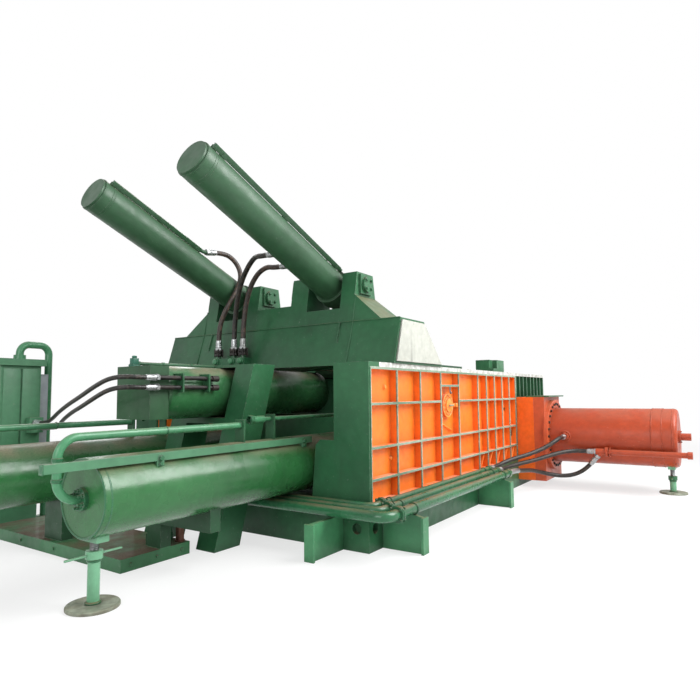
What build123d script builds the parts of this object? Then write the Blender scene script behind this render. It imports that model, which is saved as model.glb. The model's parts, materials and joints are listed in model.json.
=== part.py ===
from build123d import *
import math
import os

# Three-way scrap baler with a lid, in millimetres.
# Origin: floor level, middle plane, near end of the press box. +X is the main press direction, +Z up.
# The ribbed side wall that carries the side cylinder is on the -Y side.

# Press box
wall_length = 4690.0
wall_height = 1400.0
base_height = 450.0
half_width = 1894.0
wall_depth = 437.0
rib_depth = 90.0
rib_thickness = 26.0
rib_columns_wide = 4
wide_pitch = 565.0
step_column = 697.0
rib_columns_narrow = 5
rib_rows = [245.0, 566.0, 1015.0]
slant_rib_run = 150.0
post_thickness = 30.0
post_tab_length = 180.0
gusset_height = 640.0
gusset_foot = 290.0
gusset_top = 240.0
gusset_chamfer = 60.0
rail_thickness = 50.0
cover_radius = 150.0
cover_thickness = 45.0
cover_height = 960.0
short_rib_height = 1215.0

# Base
base_overhang = 55.0
end_block_length = 900.0
side_beam_width = 357.0
floor_thickness = 30.0
floor_top = 460.0
cross_beam_inner_starts = [1400.0, 2900.0]
cross_beam_end_step = 70.0
cross_beam_length = 455.0
cross_beam_end_gap = 10.0
lifting_hole_radius = 55.0
lifting_hole_height = 225.0
lifting_hole_depth = 60.0
outrigger_stations = [235.0, 2880.0]
outrigger_reach = 453.0
outrigger_plate = 45.0
outrigger_end_width = 120.0
outrigger_fall = 100.0
outrigger_end_plate = 25.0
front_outrigger_end_width = 110.0
front_outrigger_reach = 515.0
front_outrigger_height = 345.0
front_outrigger_y = 1565.0

# Final chamber
roof_start_gap = 4.0
chamber_pocket_length = 806.0
pocket_ceiling = 1245.0
slat_thickness = 40.0
slat_depth = 70.0
slat_pitch = 205.0

# Gantry
gantry_side_step = 21.0
gantry_foot_front = 460.0
gantry_foot_back = 1700.0
gantry_bend_height = 520.0
gantry_bend_front = 620.0
gantry_bend_back = 1200.0
gantry_top_front = 730.0
gantry_top_back = 1090.0
gantry_height = 1140.0
shoulder_reach = 1670.0
tower_outer = 1270.0
tower_inner = 290.0
tower_slope_height = 850.0
notch_height = 800.0
slot_half_width = 255.0
slot_floor_front = 700.0
slot_floor_back = 420.0
bearing_half = 110.0
end_plate_thickness = 20.0
weld_rib = 18.0

# Lid cylinders
trunnion_x = 890.0
trunnion_z = 2895.0
lid_cylinder_y = 813.0
lid_cylinder_tilt = 21.76
lid_barrel_radius = 198.0
lid_barrel_bore = 150.0
lid_barrel_tail = 2450.0
lid_barrel_nose = 250.0
lid_gland_length = 80.0
lid_rod_radius = 80.0
lid_cap_length = 100.0
trunnion_radius = 60.0
trunnion_collar = 30.0
lid_eye_reach = 2279.0
eye_radius = 120.0
eye_width = 150.0
eye_pin_radius = 50.0
lid_pipe_radius = 24.0
lid_pipe_offset = 140.0
lid_pipe_gap = 8.0
lid_clip_height = 40.0
lid_pipe_end_near = -120.0
lid_pipe_end_far = -980.0
lid_pipe_rise = 200.0
lid_pipe_turn = 30.0
piston_length = 120.0

# Lid
hinge_x = 1650.0
hinge_z = 1960.0
lid_front_gap = 30.0
lid_start = 1720.0
lid_underside = 1800.0
lid_plate = 60.0
lid_rib_height = 90.0
lid_beam_height = 180.0
lid_side_gap = 22.0
fork_plate = 40.0
fork_slack = 12.0
knuckle_radius = 70.0
knuckle_width = 180.0
hinge_pin_radius = 35.0
hinge_stations = [-1050.0, -350.0, 350.0, 1050.0]
lid_rib_width = 50.0
lid_rib_count = 7
lid_rib_setback = 180.0
fork_foot_half = 210.0
fork_top_half = 80.0
fork_rise = 130.0
fork_hole_slack = 5.0
knuckle_undercut = 60.0
knuckle_heel = 20.0
knuckle_toe = 10.0
hinge_lug_thickness = 50.0
hinge_lug_gap = 5.0
hinge_lug_inset = 5.0
hinge_beam_depth = 200.0
hinge_beam_height = 150.0
hinge_beam_gap = 25.0
hinge_pin_overhang = 20.0
lid_stop_setback = 290.0
lid_stop_length = 500.0
lid_stop_height = 200.0
lid_stop_inset = 100.0
lid_stop_gap = 40.0
lid_stop_step = 160.0
lid_stop_cut = 70.0
lid_stop_sill = 60.0

# Main press
press_cylinder_y = 881.0
press_cylinder_z = 810.0
press_radius = 300.0
press_bore = 210.0
press_rod = 150.0
press_tail = -2430.0
press_nose = 1200.0
press_cap = 150.0
upper_radius = 280.0
upper_bore = 200.0
upper_z = 1600.0
upper_tail = -1190.0
upper_nose = 1495.0
upper_block = 220.0
seat_start = 1000.0
seat_top = 1280.0
upper_seat_start = 1500.0
upper_seat_thickness = 80.0
ram_start = 1600.0
ram_length = 650.0
ram_side_gap = 15.0
ram_top = 1780.0
ram_bottom_gap = 6.0

# Yoke round the upper press cylinder
yoke_inner = 300.0
yoke_outer = 572.0
yoke_depth = 350.0
yoke_foot_x = -850.0
yoke_top_x = -300.0
yoke_top = 1912.0
yoke_tie = 66.0

# Platform and saddles
platform_start = -1750.0
platform_length = 770.0
platform_near = 360.0
platform_far = 2120.0
platform_height = 120.0
saddle_thickness = 120.0
saddle_half_width = 160.0
saddle_setbacks = [60.0, 320.0]
saddle_drop = 200.0
bracket_setback = 420.0
bracket_foot_width = 200.0
bracket_sill = 160.0
bracket_foot_drop = 100.0
step_block_setback = 435.0
step_block_length = 120.0
step_block_out = 245.0
step_block_width = 130.0
step_block_height = 110.0

# Screw stands
stand_x = -2325.0
stand_post_radius = 45.0
stand_foot_radius = 190.0
stand_foot_thickness = 25.0
stand_screw_radius = 30.0
stand_nut_radius = 62.0
stand_nut_height = 60.0
stand_nut_z = 355.0
side_stand_nut_z = 205.0
stand_handle_radius = 9.0
stand_handle_reach = 230.0
side_stand_y = -4120.0

# Side press
side_axis_ahead = 510.0
side_axis_z = 848.0
side_radius = 448.0
side_bore = 330.0
side_rod = 190.0
side_box_half = 500.0
side_box_low = 115.0
side_box_high = 1490.0
side_box_out = 2176.0
seat_block_out = 2350.0
seat_ring_out = 2410.0
seat_ring_radius = 586.0
side_bolt_circle = 520.0
side_bolt_count = 28
bolt_radius = 18.0
bolt_height = 22.0
side_tail = 4235.0
side_cap = 120.0
side_ram_length = 380.0
side_ram_gap = 6.0
side_band_start = 3900.0
side_band = 130.0

# Discharge gate on the far side
gate_half = 420.0
gate_low = 462.0
gate_high = 1260.0
gate_plate = 110.0
gate_gap = 0.5
gate_travel = 810.0
gate_rod_radius = 45.0
gate_barrel_radius = 85.0
gate_barrel_length = 1050.0
gate_rod_exposed = 840.0

# Pipes
feed_pipe_radius = 32.0
feed_pipe_rise = 1270.0
feed_pipe_reach = 200.0
feed_pipe_end = -820.0
forward_pipe_start = -640.0
forward_pipe_end = 820.0
forward_pipe_radius = 22.0
forward_pipe_z = 1318.0
feed_flange_radius = 85.0
feed_flange_thickness = 30.0
guard_rail_start = -2850.0
guard_rail_end = 50.0
guard_rail_y = 1085.0
guard_rail_z = 1082.0
guard_rail_height = 64.0
guard_rail_width = 46.0
guard_rail_wall = 6.0
guard_clip_setback = 480.0
guard_clip_inset = 170.0
guard_clip_length = 70.0
guard_clip_reach = 90.0
guard_clip_drop = 45.0
base_pipe_radii = [52.0, 42.0, 36.0]
base_pipe_outs = [2240.0, 2085.0, 1965.0]
base_pipe_starts = [-300.0, -190.0, -100.0]
base_pipe_overhang = 180.0
base_pipe_inner = 500.0
pipe_fitting_length = 70.0
side_pipe_radius = 42.0
side_pipe_z = 632.0
side_pipe_start = 3295.0
side_tee_length = 140.0
side_tee_radius = 50.0
side_branch_angle = 50.0
side_branch_length = 240.0
side_pipe_gap = 40.0
side_port_y = 2654.0
side_bracket_stations = [3420.0, 4050.0]
side_pipe_end = 4400.0
upper_line_radius = 22.0
upper_line_y = 320.0
upper_line_heights = [1745.0, 1650.0]
upper_line_start = -1350.0
upper_line_end = -620.0

# Oil tank
tank_x = -1550.0
tank_y = 2430.0
tank_length = 480.0
tank_width = 1180.0
tank_height = 1960.0
tank_cap_height = 85.0
tank_cap_lip = 45.0
tank_pipe_radius = 46.0
tank_pipe_rise = 200.0
tank_pipe_y = 2620.0
tank_pipe_in = -1250.0
tank_pipe_out = -880.0
switch_box_width = 115.0
switch_box_depth = 300.0
switch_box_height = 910.0
switch_box_drop = 100.0
switch_box_setback = 40.0

# Manifold and hoses
manifold_x = 400.0
manifold_z = 1990.0
manifold_ports = [740.0, 450.0, 290.0]
lid_hose_radius = 32.0
lid_ferrule_length = 150.0
side_hose_radius = 32.0
side_ferrule_length = 130.0
supply_hose_radius = 22.0
supply_ferrule_length = 130.0
ferrule_wall = 5.0
near_port_stations = [-893.7, -635.3]
near_port_reach = 154.7
tank_ports = [(-1180.0, 1250.0), (-1080.0, 1180.0)]
lid_hose_routes = [
    [(400, 740, 2276), (400, 740, 2410), (408, 700, 2580), (445, 620, 2765), (520, 562, 2945), (620, 568, 3120),
     (649, 600, 3269), (594, 630, 3387), (488, 655, 3462), (359.2, 673, 3472.9), (245.6, 673, 3456.5)],
    [(400, 450, 2276), (400, 450, 2410), (380, 410, 2600), (330, 325, 2815), (270, 195, 3020), (210, 20, 3180),
     (145, -160, 3265), (60, -340, 3226.3), (60, -460, 3226.3)],
    [(400, 290, 2276), (400, 290, 2410), (395, 262, 2600), (375, 200, 2810), (355, 100, 2990), (340, -40, 3120),
     (325, -195, 3165), (300, -340, 3130.5), (300, -460, 3130.5)],
]
side_hose_routes = [
    [(3260, -1965, 471), (3400, -1965, 471), (3560, -2020, 510), (3760, -2130, 565), (3980, -2310, 620),
     (4180, -2490, 710), (4300, -2615, 810), (4425, -2654, 848), (4552, -2654, 848)],
    [(3260, -2085, 451), (3410, -2085, 451), (3600, -2120, 465), (3850, -2215, 490), (4120, -2370, 525),
     (4370, -2520, 580), (4560, -2650, 615), (4672, -2775, 628), (4716, -2893, 632), (4716, -3010, 632)],
    [(3260, -2240, 427), (3410, -2240, 427), (3650, -2250, 400), (3930, -2263, 375), (4180, -2290, 345),
     (4380, -2340, 300), (4540, -2440, 255), (4640, -2600, 225), (4690, -2790, 250), (4716, -2962.1, 348.6),
     (4716, -3045.6, 448.0)],
]
supply_hose_routes = [
    [(-1480, -320, 1745), (-1590, -320, 1745), (-1685, -265, 1750), (-1740, -170, 1740), (-1735, -20, 1715),
     (-1690, 250, 1650), (-1600, 600, 1570), (-1480, 1050, 1480), (-1340, 1500, 1385), (-1220, 1850, 1300),
     (-1180, 2060, 1250), (-1180, 2200, 1250)],
    [(-1480, -320, 1650), (-1590, -320, 1650), (-1680, -262, 1652), (-1732, -165, 1640), (-1725, -15, 1612),
     (-1670, 250, 1550), (-1580, 600, 1470), (-1450, 1050, 1385), (-1290, 1500, 1290), (-1130, 1860, 1210),
     (-1080, 2060, 1180), (-1080, 2200, 1180)],
]

# Fits
seat_gap = 0.3
run_gap = 0.3
arc_share = 0.45

wall_top = base_height + wall_height
inner_width = half_width - wall_depth
rail_top = wall_top + rail_thickness
narrow_pitch = (wall_length - rib_columns_wide * wide_pitch - step_column) / rib_columns_narrow
roof_start = wall_length + roof_start_gap
end_block_start = roof_start + chamber_pocket_length
frame_length = end_block_start + end_block_length
cross_beam_starts = [-base_overhang, *cross_beam_inner_starts, wall_length - cross_beam_end_step,
                     frame_length - cross_beam_length - base_overhang + cross_beam_end_gap]
side_axis_x = wall_length + side_axis_ahead
gantry_half_width = half_width + gantry_side_step
tank_pipe_top = tank_height + tank_cap_height + tank_pipe_rise
switch_box_high = tank_height - switch_box_drop
switch_box_low = switch_box_high - switch_box_height
base_pipe_end = outrigger_stations[-1] + base_pipe_overhang
lid_stop_end = wall_length - lid_stop_setback
lid_stop_start = lid_stop_end - lid_stop_length
guard_clip_starts = [press_tail + guard_clip_setback, guard_rail_end - guard_clip_inset]


def block(x0, x1, y0, y1, z0, z1):
    """A box between two corners."""
    size = Box(x1 - x0, y1 - y0, z1 - z0)
    return Pos((x0 + x1) / 2, (y0 + y1) / 2, (z0 + z1) / 2) * size


def rod_x(x0, x1, y, z, radius):
    """A round bar along X."""
    return Pos((x0 + x1) / 2, y, z) * Rot(0, 90, 0) * Cylinder(radius, x1 - x0)


def rod_y(x, y0, y1, z, radius):
    """A round bar along Y."""
    return Pos(x, (y0 + y1) / 2, z) * Rot(90, 0, 0) * Cylinder(radius, y1 - y0)


def rod_z(x, y, z0, z1, radius):
    """A round bar along Z."""
    return Pos(x, y, (z0 + z1) / 2) * Cylinder(radius, z1 - z0)


def profile_xz(points, y0, y1):
    """A prism over an outline in the XZ plane, from y0 to y1."""
    outline = Polyline([(x, 0, z) for x, z in points], close=True)
    return Pos(0, y0, 0) * extrude(make_face(outline), amount=y1 - y0, dir=(0, 1, 0))


def profile_yz(points, x0, x1):
    """A prism over an outline in the YZ plane, from x0 to x1."""
    outline = Polyline([(0, y, z) for y, z in points], close=True)
    return Pos(x0, 0, 0) * extrude(make_face(outline), amount=x1 - x0, dir=(1, 0, 0))


def both_sides(shape):
    """The shape and its mirror image in the middle plane."""
    return [shape, mirror(shape, about=Plane.XZ)]


def write(name, shapes):
    """Writes one node, a solid or a group of separate solids."""
    solids = []
    for shape in shapes if isinstance(shapes, list) else [shapes]:
        solids.extend(shape.solids())
    node = solids[0] if len(solids) == 1 else Compound(children=solids)
    node.label = name
    export_step(node, f"parts/{name}.step")


def route_radii(points):
    """The radius of each corner of a route: as large as its two runs allow."""
    radii = []
    for before, corner, after in zip(points, points[1:], points[2:]):
        run_in = Vector(corner) - Vector(before)
        run_out = Vector(after) - Vector(corner)
        half_turn = math.radians(run_in.get_angle(run_out)) / 2
        radii.append(arc_share * min(run_in.length, run_out.length) / math.tan(half_turn))
    return radii


def tube_route(name, points, radius, radii=None):
    """A round tube or hose along straight runs joined by tangent arcs."""
    radii = radii or route_radii(points)
    path = FilletPolyline(*points, radius=radii)
    start = Plane(origin=path @ 0, z_dir=path % 0)
    tube = sweep(start * Circle(radius), path=path)
    expected = math.pi * radius**2 * path.length
    print(f"{name}: length {path.length:.0f}, tightest {min(radii):.0f}, volume ratio {tube.volume / expected:.4f}")
    return tube


def column_lines():
    """The x of every line between two columns of panels on the side wall."""
    lines = [i * wide_pitch for i in range(rib_columns_wide + 1)]
    lines.append(lines[-1] + step_column)
    lines += [lines[-1] + (i + 1) * narrow_pitch for i in range(rib_columns_narrow)]
    return lines


def side_wall(near):
    """Press box wall: a thick plate with an egg-crate of ribs on its outer face, for the -Y side."""
    wall = block(0, wall_length, -half_width, -inner_width, base_height, wall_top)
    lines = column_lines()
    rows = [0.0] + rib_rows + [wall_height]
    half_rib = rib_thickness / 2
    cover_column = rib_columns_wide - 1
    panel_back = -half_width + rib_depth
    for column, (x0, x1) in enumerate(zip(lines, lines[1:])):
        row_edges = list(zip(rows, rows[1:]))
        if near and column == cover_column:
            row_edges = row_edges[:2] + [(rows[2], rows[4])]
        left = x0 + (rib_thickness if column == 0 else half_rib)
        right = x1 - (rib_thickness if column == len(lines) - 2 else half_rib)
        for z0, z1 in row_edges:
            low = base_height + z0 + (rib_thickness if z0 == 0.0 else half_rib)
            high = base_height + z1 - (rib_thickness if z1 == wall_height else half_rib)
            wall -= block(left, right, -half_width - 1, panel_back, low, high)
    low = base_height + rib_thickness
    high = base_height + rib_rows[0] - half_rib
    for x0, x1 in list(zip(lines, lines[1:]))[rib_columns_wide + 1:]:
        middle = (x0 + x1) / 2
        half_run = min(slant_rib_run, x1 - x0 - 2 * rib_thickness) / 2
        slant = [(middle - half_run - half_rib, low), (middle - half_run + half_rib, low)]
        slant += [(middle + half_run + half_rib, high), (middle + half_run - half_rib, high)]
        wall += profile_xz(slant, -half_width + 25, panel_back + 1)
    if near:
        rib_x0 = lines[cover_column] + half_rib
        rib_x1 = lines[cover_column + 1] - half_rib
        rib_z = base_height + short_rib_height
        wall += block(rib_x0 - 1, rib_x1 + 1, -half_width, panel_back + 1, rib_z - half_rib, rib_z + half_rib)
    return wall


def wall_cover():
    """Round bolted cover in the near wall, with a short handle."""
    lines = column_lines()
    x = (lines[rib_columns_wide - 1] + lines[rib_columns_wide]) / 2
    z = base_height + cover_height
    face = -half_width + rib_depth
    cover = rod_y(x, face - cover_thickness, face, z, cover_radius)
    cover += rod_y(x, face - cover_thickness - 25, face - cover_thickness + 1, z, cover_radius * 0.55)
    for i in range(12):
        turn = math.radians(30 * i)
        bolt_x = x + cover_radius * 0.82 * math.cos(turn)
        bolt_z = z + cover_radius * 0.82 * math.sin(turn)
        cover += rod_y(bolt_x, face - cover_thickness - 12, face - cover_thickness + 1, bolt_z, 9)
    handle_y = face - cover_thickness - 25
    cover += rod_y(x, handle_y - 30, handle_y + 1, z, 12)
    cover += rod_x(x - 60, x + 60, handle_y - 30, z, 9)
    return cover


def end_post():
    """Green plate that closes the near end of the -Y wall, with a tab over its top and a gusset on its inner edge."""
    plate = block(-post_thickness, 0, -half_width, -inner_width, base_height, rail_top)
    plate += block(-1, post_tab_length, -half_width, -inner_width, wall_top, rail_top)
    edge = -inner_width
    shoulder = base_height + gusset_height
    gusset = [(edge - 1, base_height), (edge + gusset_foot, base_height), (edge + gusset_top, shoulder - gusset_chamfer),
              (edge + gusset_top - gusset_chamfer, shoulder), (edge - 1, shoulder)]
    return plate + profile_yz(gusset, -post_thickness, 0)


def top_rail():
    """Flat bar on top of the -Y wall."""
    return block(post_tab_length, frame_length, -half_width, -inner_width, wall_top, rail_top)


def side_beam():
    """Long beam under the -Y wall, with a lifting hole near its end."""
    beam = block(-base_overhang, frame_length, -half_width, -half_width + side_beam_width, 0, base_height)
    end_y = -half_width + side_beam_width * 0.4
    beam -= rod_x(-base_overhang - 1, lifting_hole_depth - base_overhang, end_y, lifting_hole_height,
                  lifting_hole_radius)
    beam -= rod_y(70, -half_width - 1, lifting_hole_depth - half_width, lifting_hole_height,
                  lifting_hole_radius)
    return beam


def cross_beams():
    """Cross beams between the two side beams."""
    inner = half_width - side_beam_width
    top = floor_top - floor_thickness
    return [block(x, x + cross_beam_length, -inner, inner, 0, top) for x in cross_beam_starts]


def outriggers():
    """Plates that stand out of the base, each with an end plate."""
    plates = []
    outer = -half_width - outrigger_reach
    for x in outrigger_stations:
        top = [(-half_width, base_height), (outer, base_height - outrigger_fall), (outer, 0), (-half_width, 0)]
        plate = profile_yz(top, x - outrigger_plate / 2, x + outrigger_plate / 2)
        end_top = base_height - outrigger_fall
        half_end = outrigger_end_width / 2
        plate += block(x - half_end, x + half_end, outer - outrigger_end_plate, outer + 1, 0, end_top)
        plates += both_sides(plate)
    half_plate = outrigger_plate / 2
    tip = -base_overhang - front_outrigger_reach
    front = block(tip, -base_overhang, -front_outrigger_y - half_plate, -front_outrigger_y + half_plate, 0,
                  front_outrigger_height)
    half_front = front_outrigger_end_width / 2
    front += block(tip - outrigger_end_plate, tip + 1, -front_outrigger_y - half_front, -front_outrigger_y + half_front,
                   0, front_outrigger_height)
    return plates + both_sides(front)


def floor_plate():
    """Wear plate that the rams slide on."""
    start = cross_beam_starts[0] + cross_beam_length
    return block(start, end_block_start, -inner_width, inner_width, floor_top - floor_thickness, floor_top)


def roof_block():
    """Fixed roof over the final chamber, with upright stiffeners on both outer faces."""
    roof = block(roof_start, end_block_start, -half_width + slat_depth, half_width - slat_depth, pocket_ceiling,
                 wall_top)
    count = int((end_block_start - roof_start) // slat_pitch) + 1
    for i in range(count):
        x = roof_start + i * slat_pitch
        stiffener = block(x, x + slat_thickness, -half_width, -half_width + slat_depth + 1, side_box_high + 10,
                          wall_top)
        for one in both_sides(stiffener):
            roof += one
    return roof


def end_block():
    """Heavy block that takes the main press force, with upright stiffeners."""
    side = half_width - slat_depth
    tongue = half_width - side_beam_width
    body = block(end_block_start, frame_length, -side, side, base_height, wall_top)
    body += block(end_block_start, frame_length, -tongue, tongue, floor_top - floor_thickness, base_height + 1)
    count = int((frame_length - end_block_start) // slat_pitch) + 1
    for i in range(count):
        x = frame_length - slat_thickness - i * slat_pitch
        stiffener = block(x, x + slat_thickness, -half_width, -side + 1, base_height, wall_top)
        for one in both_sides(stiffener):
            body += one
    return body


def gantry_side_outline():
    """Side outline of the gantry: it leans away from the cylinders and narrows upwards."""
    foot = rail_top
    return [(gantry_foot_front, foot), (gantry_foot_back, foot),
            (gantry_bend_back, foot + gantry_bend_height), (gantry_top_back, foot + gantry_height),
            (gantry_top_front, foot + gantry_height), (gantry_bend_front, foot + gantry_bend_height)]


def gantry():
    """Welded gantry over the near end: two slotted towers on a wide foot, as a list of solids."""
    foot = rail_top
    half_front = [(0, foot), (gantry_half_width, foot), (gantry_half_width, foot + gantry_bend_height),
                  (shoulder_reach, foot + gantry_bend_height), (tower_outer, foot + tower_slope_height),
                  (tower_outer, foot + gantry_height), (tower_inner, foot + gantry_height),
                  (tower_inner, foot + notch_height), (0, foot + notch_height)]
    front = half_front[1:-1]
    outline = front + [(-y, z) for y, z in reversed(front)]
    body = profile_yz(outline, gantry_foot_front - 1, gantry_foot_back + 1)
    body &= profile_xz(gantry_side_outline(), -gantry_half_width, gantry_half_width)
    slot_front_z = foot + slot_floor_front
    slot_back_z = foot + slot_floor_back
    slot_top = foot + gantry_height + 10
    slot = [(gantry_foot_front, slot_front_z), (gantry_bend_front + 80, slot_front_z),
            (gantry_foot_back, slot_back_z), (gantry_foot_back, slot_top), (gantry_foot_front, slot_top)]
    for side in (-1, 1):
        middle = side * lid_cylinder_y
        body -= profile_xz(slot, middle - slot_half_width, middle + slot_half_width)
        low, high = sorted((side * (tower_inner - 1), side * (tower_outer + 1)))
        reach = bearing_half + seat_gap
        body -= block(trunnion_x - reach, trunnion_x + reach, low, high, trunnion_z - reach, slot_top)
    hollow_half = inner_width - 20
    hollow = [(gantry_foot_front + 190, foot - 1), (gantry_foot_back + 1, foot - 1),
              (gantry_foot_back + 1, foot + gantry_bend_height - 120),
              (gantry_bend_front + 150, foot + gantry_bend_height - 120)]
    body -= profile_xz(hollow, -hollow_half, hollow_half)
    for side in (-1, 1):
        rib = block(gantry_bend_front - 60, gantry_bend_front, -9, 9, foot + 30, foot + gantry_bend_height)
        rib &= profile_xz(gantry_side_outline(), -9, 9)
        body += Pos(-weld_rib, side * (tower_outer - 170), 0) * rib
    return gantry_pieces(body)


def gantry_pieces(body):
    """The gantry as it is welded up: its foot, and on it the legs, slot floors and shoulders."""
    shoulder = rail_top + gantry_bend_height
    front = gantry_foot_front - 100
    back = gantry_foot_back + 100
    foot = body & block(front, back, -gantry_half_width, gantry_half_width, rail_top - 1, shoulder)
    pieces = list(foot.solids())
    half_lines = [tower_inner, lid_cylinder_y - slot_half_width, lid_cylinder_y + slot_half_width, gantry_half_width]
    lines = [-y for y in reversed(half_lines)] + half_lines
    for y0, y1 in zip(lines, lines[1:]):
        pieces += (body & block(front, back, y0, y1, shoulder, rail_top + gantry_height + 1)).solids()
    return pieces


def bearing_blocks():
    """Trunnion bearings, each a block in an open notch of one tower leg."""
    blocks = []
    inner_leg = (tower_inner, lid_cylinder_y - slot_half_width)
    outer_leg = (lid_cylinder_y + slot_half_width, tower_outer)
    top = rail_top + gantry_height
    for y0, y1 in (inner_leg, outer_leg):
        bearing = block(trunnion_x - bearing_half, trunnion_x + bearing_half, y0, y1, trunnion_z - bearing_half, top)
        bearing -= rod_y(trunnion_x, y0 - 1, y1 + 1, trunnion_z, trunnion_radius + run_gap)
        blocks += both_sides(bearing)
    return blocks


def gantry_end_plates():
    """Off-white plates on the two ends of the gantry's foot."""
    foot = rail_top + 25
    top = rail_top + gantry_bend_height - 25
    outline = [(gantry_foot_front + 35, foot), (gantry_foot_back - 60, foot), (gantry_bend_back - 15, top),
               (gantry_bend_front + 15, top)]
    outer = -gantry_half_width
    return both_sides(profile_xz(outline, outer - end_plate_thickness, outer))


def trunnion_caps():
    """Round caps over the trunnion bores, on square pads."""
    caps = []
    for y0, outward in ((-tower_outer, -1), (-tower_inner, 1)):
        y1 = y0 + outward * 30
        y2 = y1 + outward * 35
        low, high = sorted((y0, y1))
        cap = block(trunnion_x - 120, trunnion_x + 120, low, high, trunnion_z - 120, trunnion_z + 120)
        low, high = sorted((y1, y2))
        cap += rod_y(trunnion_x, low - 1 if outward > 0 else low, high + (0 if outward > 0 else 1), trunnion_z, 95)
        for turn in (45, 135, 225, 315):
            bolt_x = trunnion_x + 72 * math.cos(math.radians(turn))
            bolt_z = trunnion_z + 72 * math.sin(math.radians(turn))
            end = y2 + outward * 18
            low, high = sorted((y2 - outward, end))
            cap += rod_y(bolt_x, low, high, bolt_z, 14)
        caps += both_sides(cap)
    return caps


def tilted(shape, side):
    """Puts a shape that lies along local X on a lid cylinder's axis, with its trunnion at the origin."""
    return Pos(trunnion_x, side * lid_cylinder_y, trunnion_z) * Rot(0, lid_cylinder_tilt, 0) * shape


def lid_barrel(side):
    """Lid cylinder: closed tube with trunnions and a gland."""
    tail = -lid_barrel_tail
    nose = lid_barrel_nose
    body = rod_x(tail, nose, 0, 0, lid_barrel_radius)
    body += rod_x(tail - 25, tail + 1, 0, 0, lid_barrel_radius - 12)
    body += rod_x(nose - 1, nose + lid_gland_length, 0, 0, lid_barrel_radius - 30)
    body -= rod_x(tail + lid_cap_length, nose, 0, 0, lid_barrel_bore)
    body -= rod_x(nose - 1, nose + lid_gland_length + 1, 0, 0, lid_rod_radius + run_gap)
    outer_reach = tower_outer - lid_cylinder_y - 5
    inner_reach = lid_cylinder_y - tower_inner - 5
    stub = slot_half_width - 6
    ring = rod_x(-80, 80, 0, 0, lid_barrel_radius + trunnion_collar) - rod_x(-81, 81, 0, 0, lid_barrel_radius - 1)
    body += ring
    for outward in (-1, 1):
        reach = outer_reach if outward == side else inner_reach
        low, high = sorted((outward * (lid_barrel_bore + 20), outward * reach))
        body += rod_y(0, low, high, 0, trunnion_radius)
        low, high = sorted((outward * (lid_barrel_bore + 20), outward * stub))
        body += rod_y(0, low, high, 0, trunnion_radius + 25)
    if side < 0:
        for port in near_barrel_ports():
            body += port
    return tilted(body, side)


def lid_pipe(side):
    """Oil pipe along a lid cylinder with its clips, on the side that faces -Y. The far one ends in a hose ferrule."""
    end = lid_pipe_end_near if side < 0 else lid_pipe_end_far
    y = -lid_pipe_offset
    z = math.sqrt((lid_barrel_radius + lid_pipe_radius + lid_pipe_gap) ** 2 - y**2)
    start = -lid_barrel_tail + 90
    direction = math.degrees(math.atan2(z, -y))
    if side < 0:
        pipe = rod_x(start, end, y, z, lid_pipe_radius)
    else:
        turn = math.radians(lid_pipe_turn)
        tip = (end + lid_pipe_rise * math.cos(turn), y, z + lid_pipe_rise * math.sin(turn))
        points = [(start, y, z), (end, y, z), tip]
        pipe = tube_route("far lid pipe", points, lid_pipe_radius, [lid_pipe_radius * 5])
        ferrule = Pos(0, 0, -lid_ferrule_length / 2) * Cylinder(lid_hose_radius + ferrule_wall, lid_ferrule_length)
        pipe += Pos(*tip) * Rot(0, 90 - lid_pipe_turn, 0) * ferrule
    low = lid_barrel_radius + seat_gap
    for x in (start + 120, (start + end) / 2, end - 120):
        clip = Pos(0, 0, low + lid_clip_height / 2) * Box(60, 2 * lid_pipe_radius + 24, lid_clip_height)
        pipe += Pos(x, 0, 0) * Rot(90 - direction, 0, 0) * clip
    riser = Pos(0, 0, low + lid_pipe_gap / 2 + lid_pipe_radius / 2)
    riser = riser * Cylinder(lid_pipe_radius + 10, lid_pipe_gap + lid_pipe_radius)
    pipe += Pos(start, 0, 0) * Rot(90 - direction, 0, 0) * riser
    return tilted(pipe, side)


def near_barrel_ports():
    """Two hose ports with ferrules on the inner side of the near lid cylinder."""
    ports = []
    for x in near_port_stations:
        port = rod_y(x, lid_barrel_radius - 4, lid_barrel_radius + 40, 0, lid_hose_radius + 16)
        port += rod_y(x, lid_barrel_radius + 39, lid_barrel_radius + near_port_reach, 0, lid_hose_radius + ferrule_wall)
        ports.append(port)
    return ports


def lid_rod(side):
    """Rod of a lid cylinder with its piston, eye and pin. The pin stays inside the fork's gap."""
    shape = rod_x(60, lid_eye_reach - eye_radius + 20, 0, 0, lid_rod_radius)
    shape += rod_x(60, 60 + piston_length, 0, 0, lid_barrel_bore - run_gap)
    shape += rod_y(lid_eye_reach, -eye_width / 2, eye_width / 2, 0, eye_radius)
    pin_half = eye_width / 2 + fork_slack - 2
    shape += rod_y(lid_eye_reach, -pin_half, pin_half, 0, eye_pin_radius)
    return tilted(shape, side)


def eye_point():
    """The x and z of a lid rod's eye at rest."""
    angle = math.radians(lid_cylinder_tilt)
    return trunnion_x + lid_eye_reach * math.cos(angle), trunnion_z - lid_eye_reach * math.sin(angle)


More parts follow.
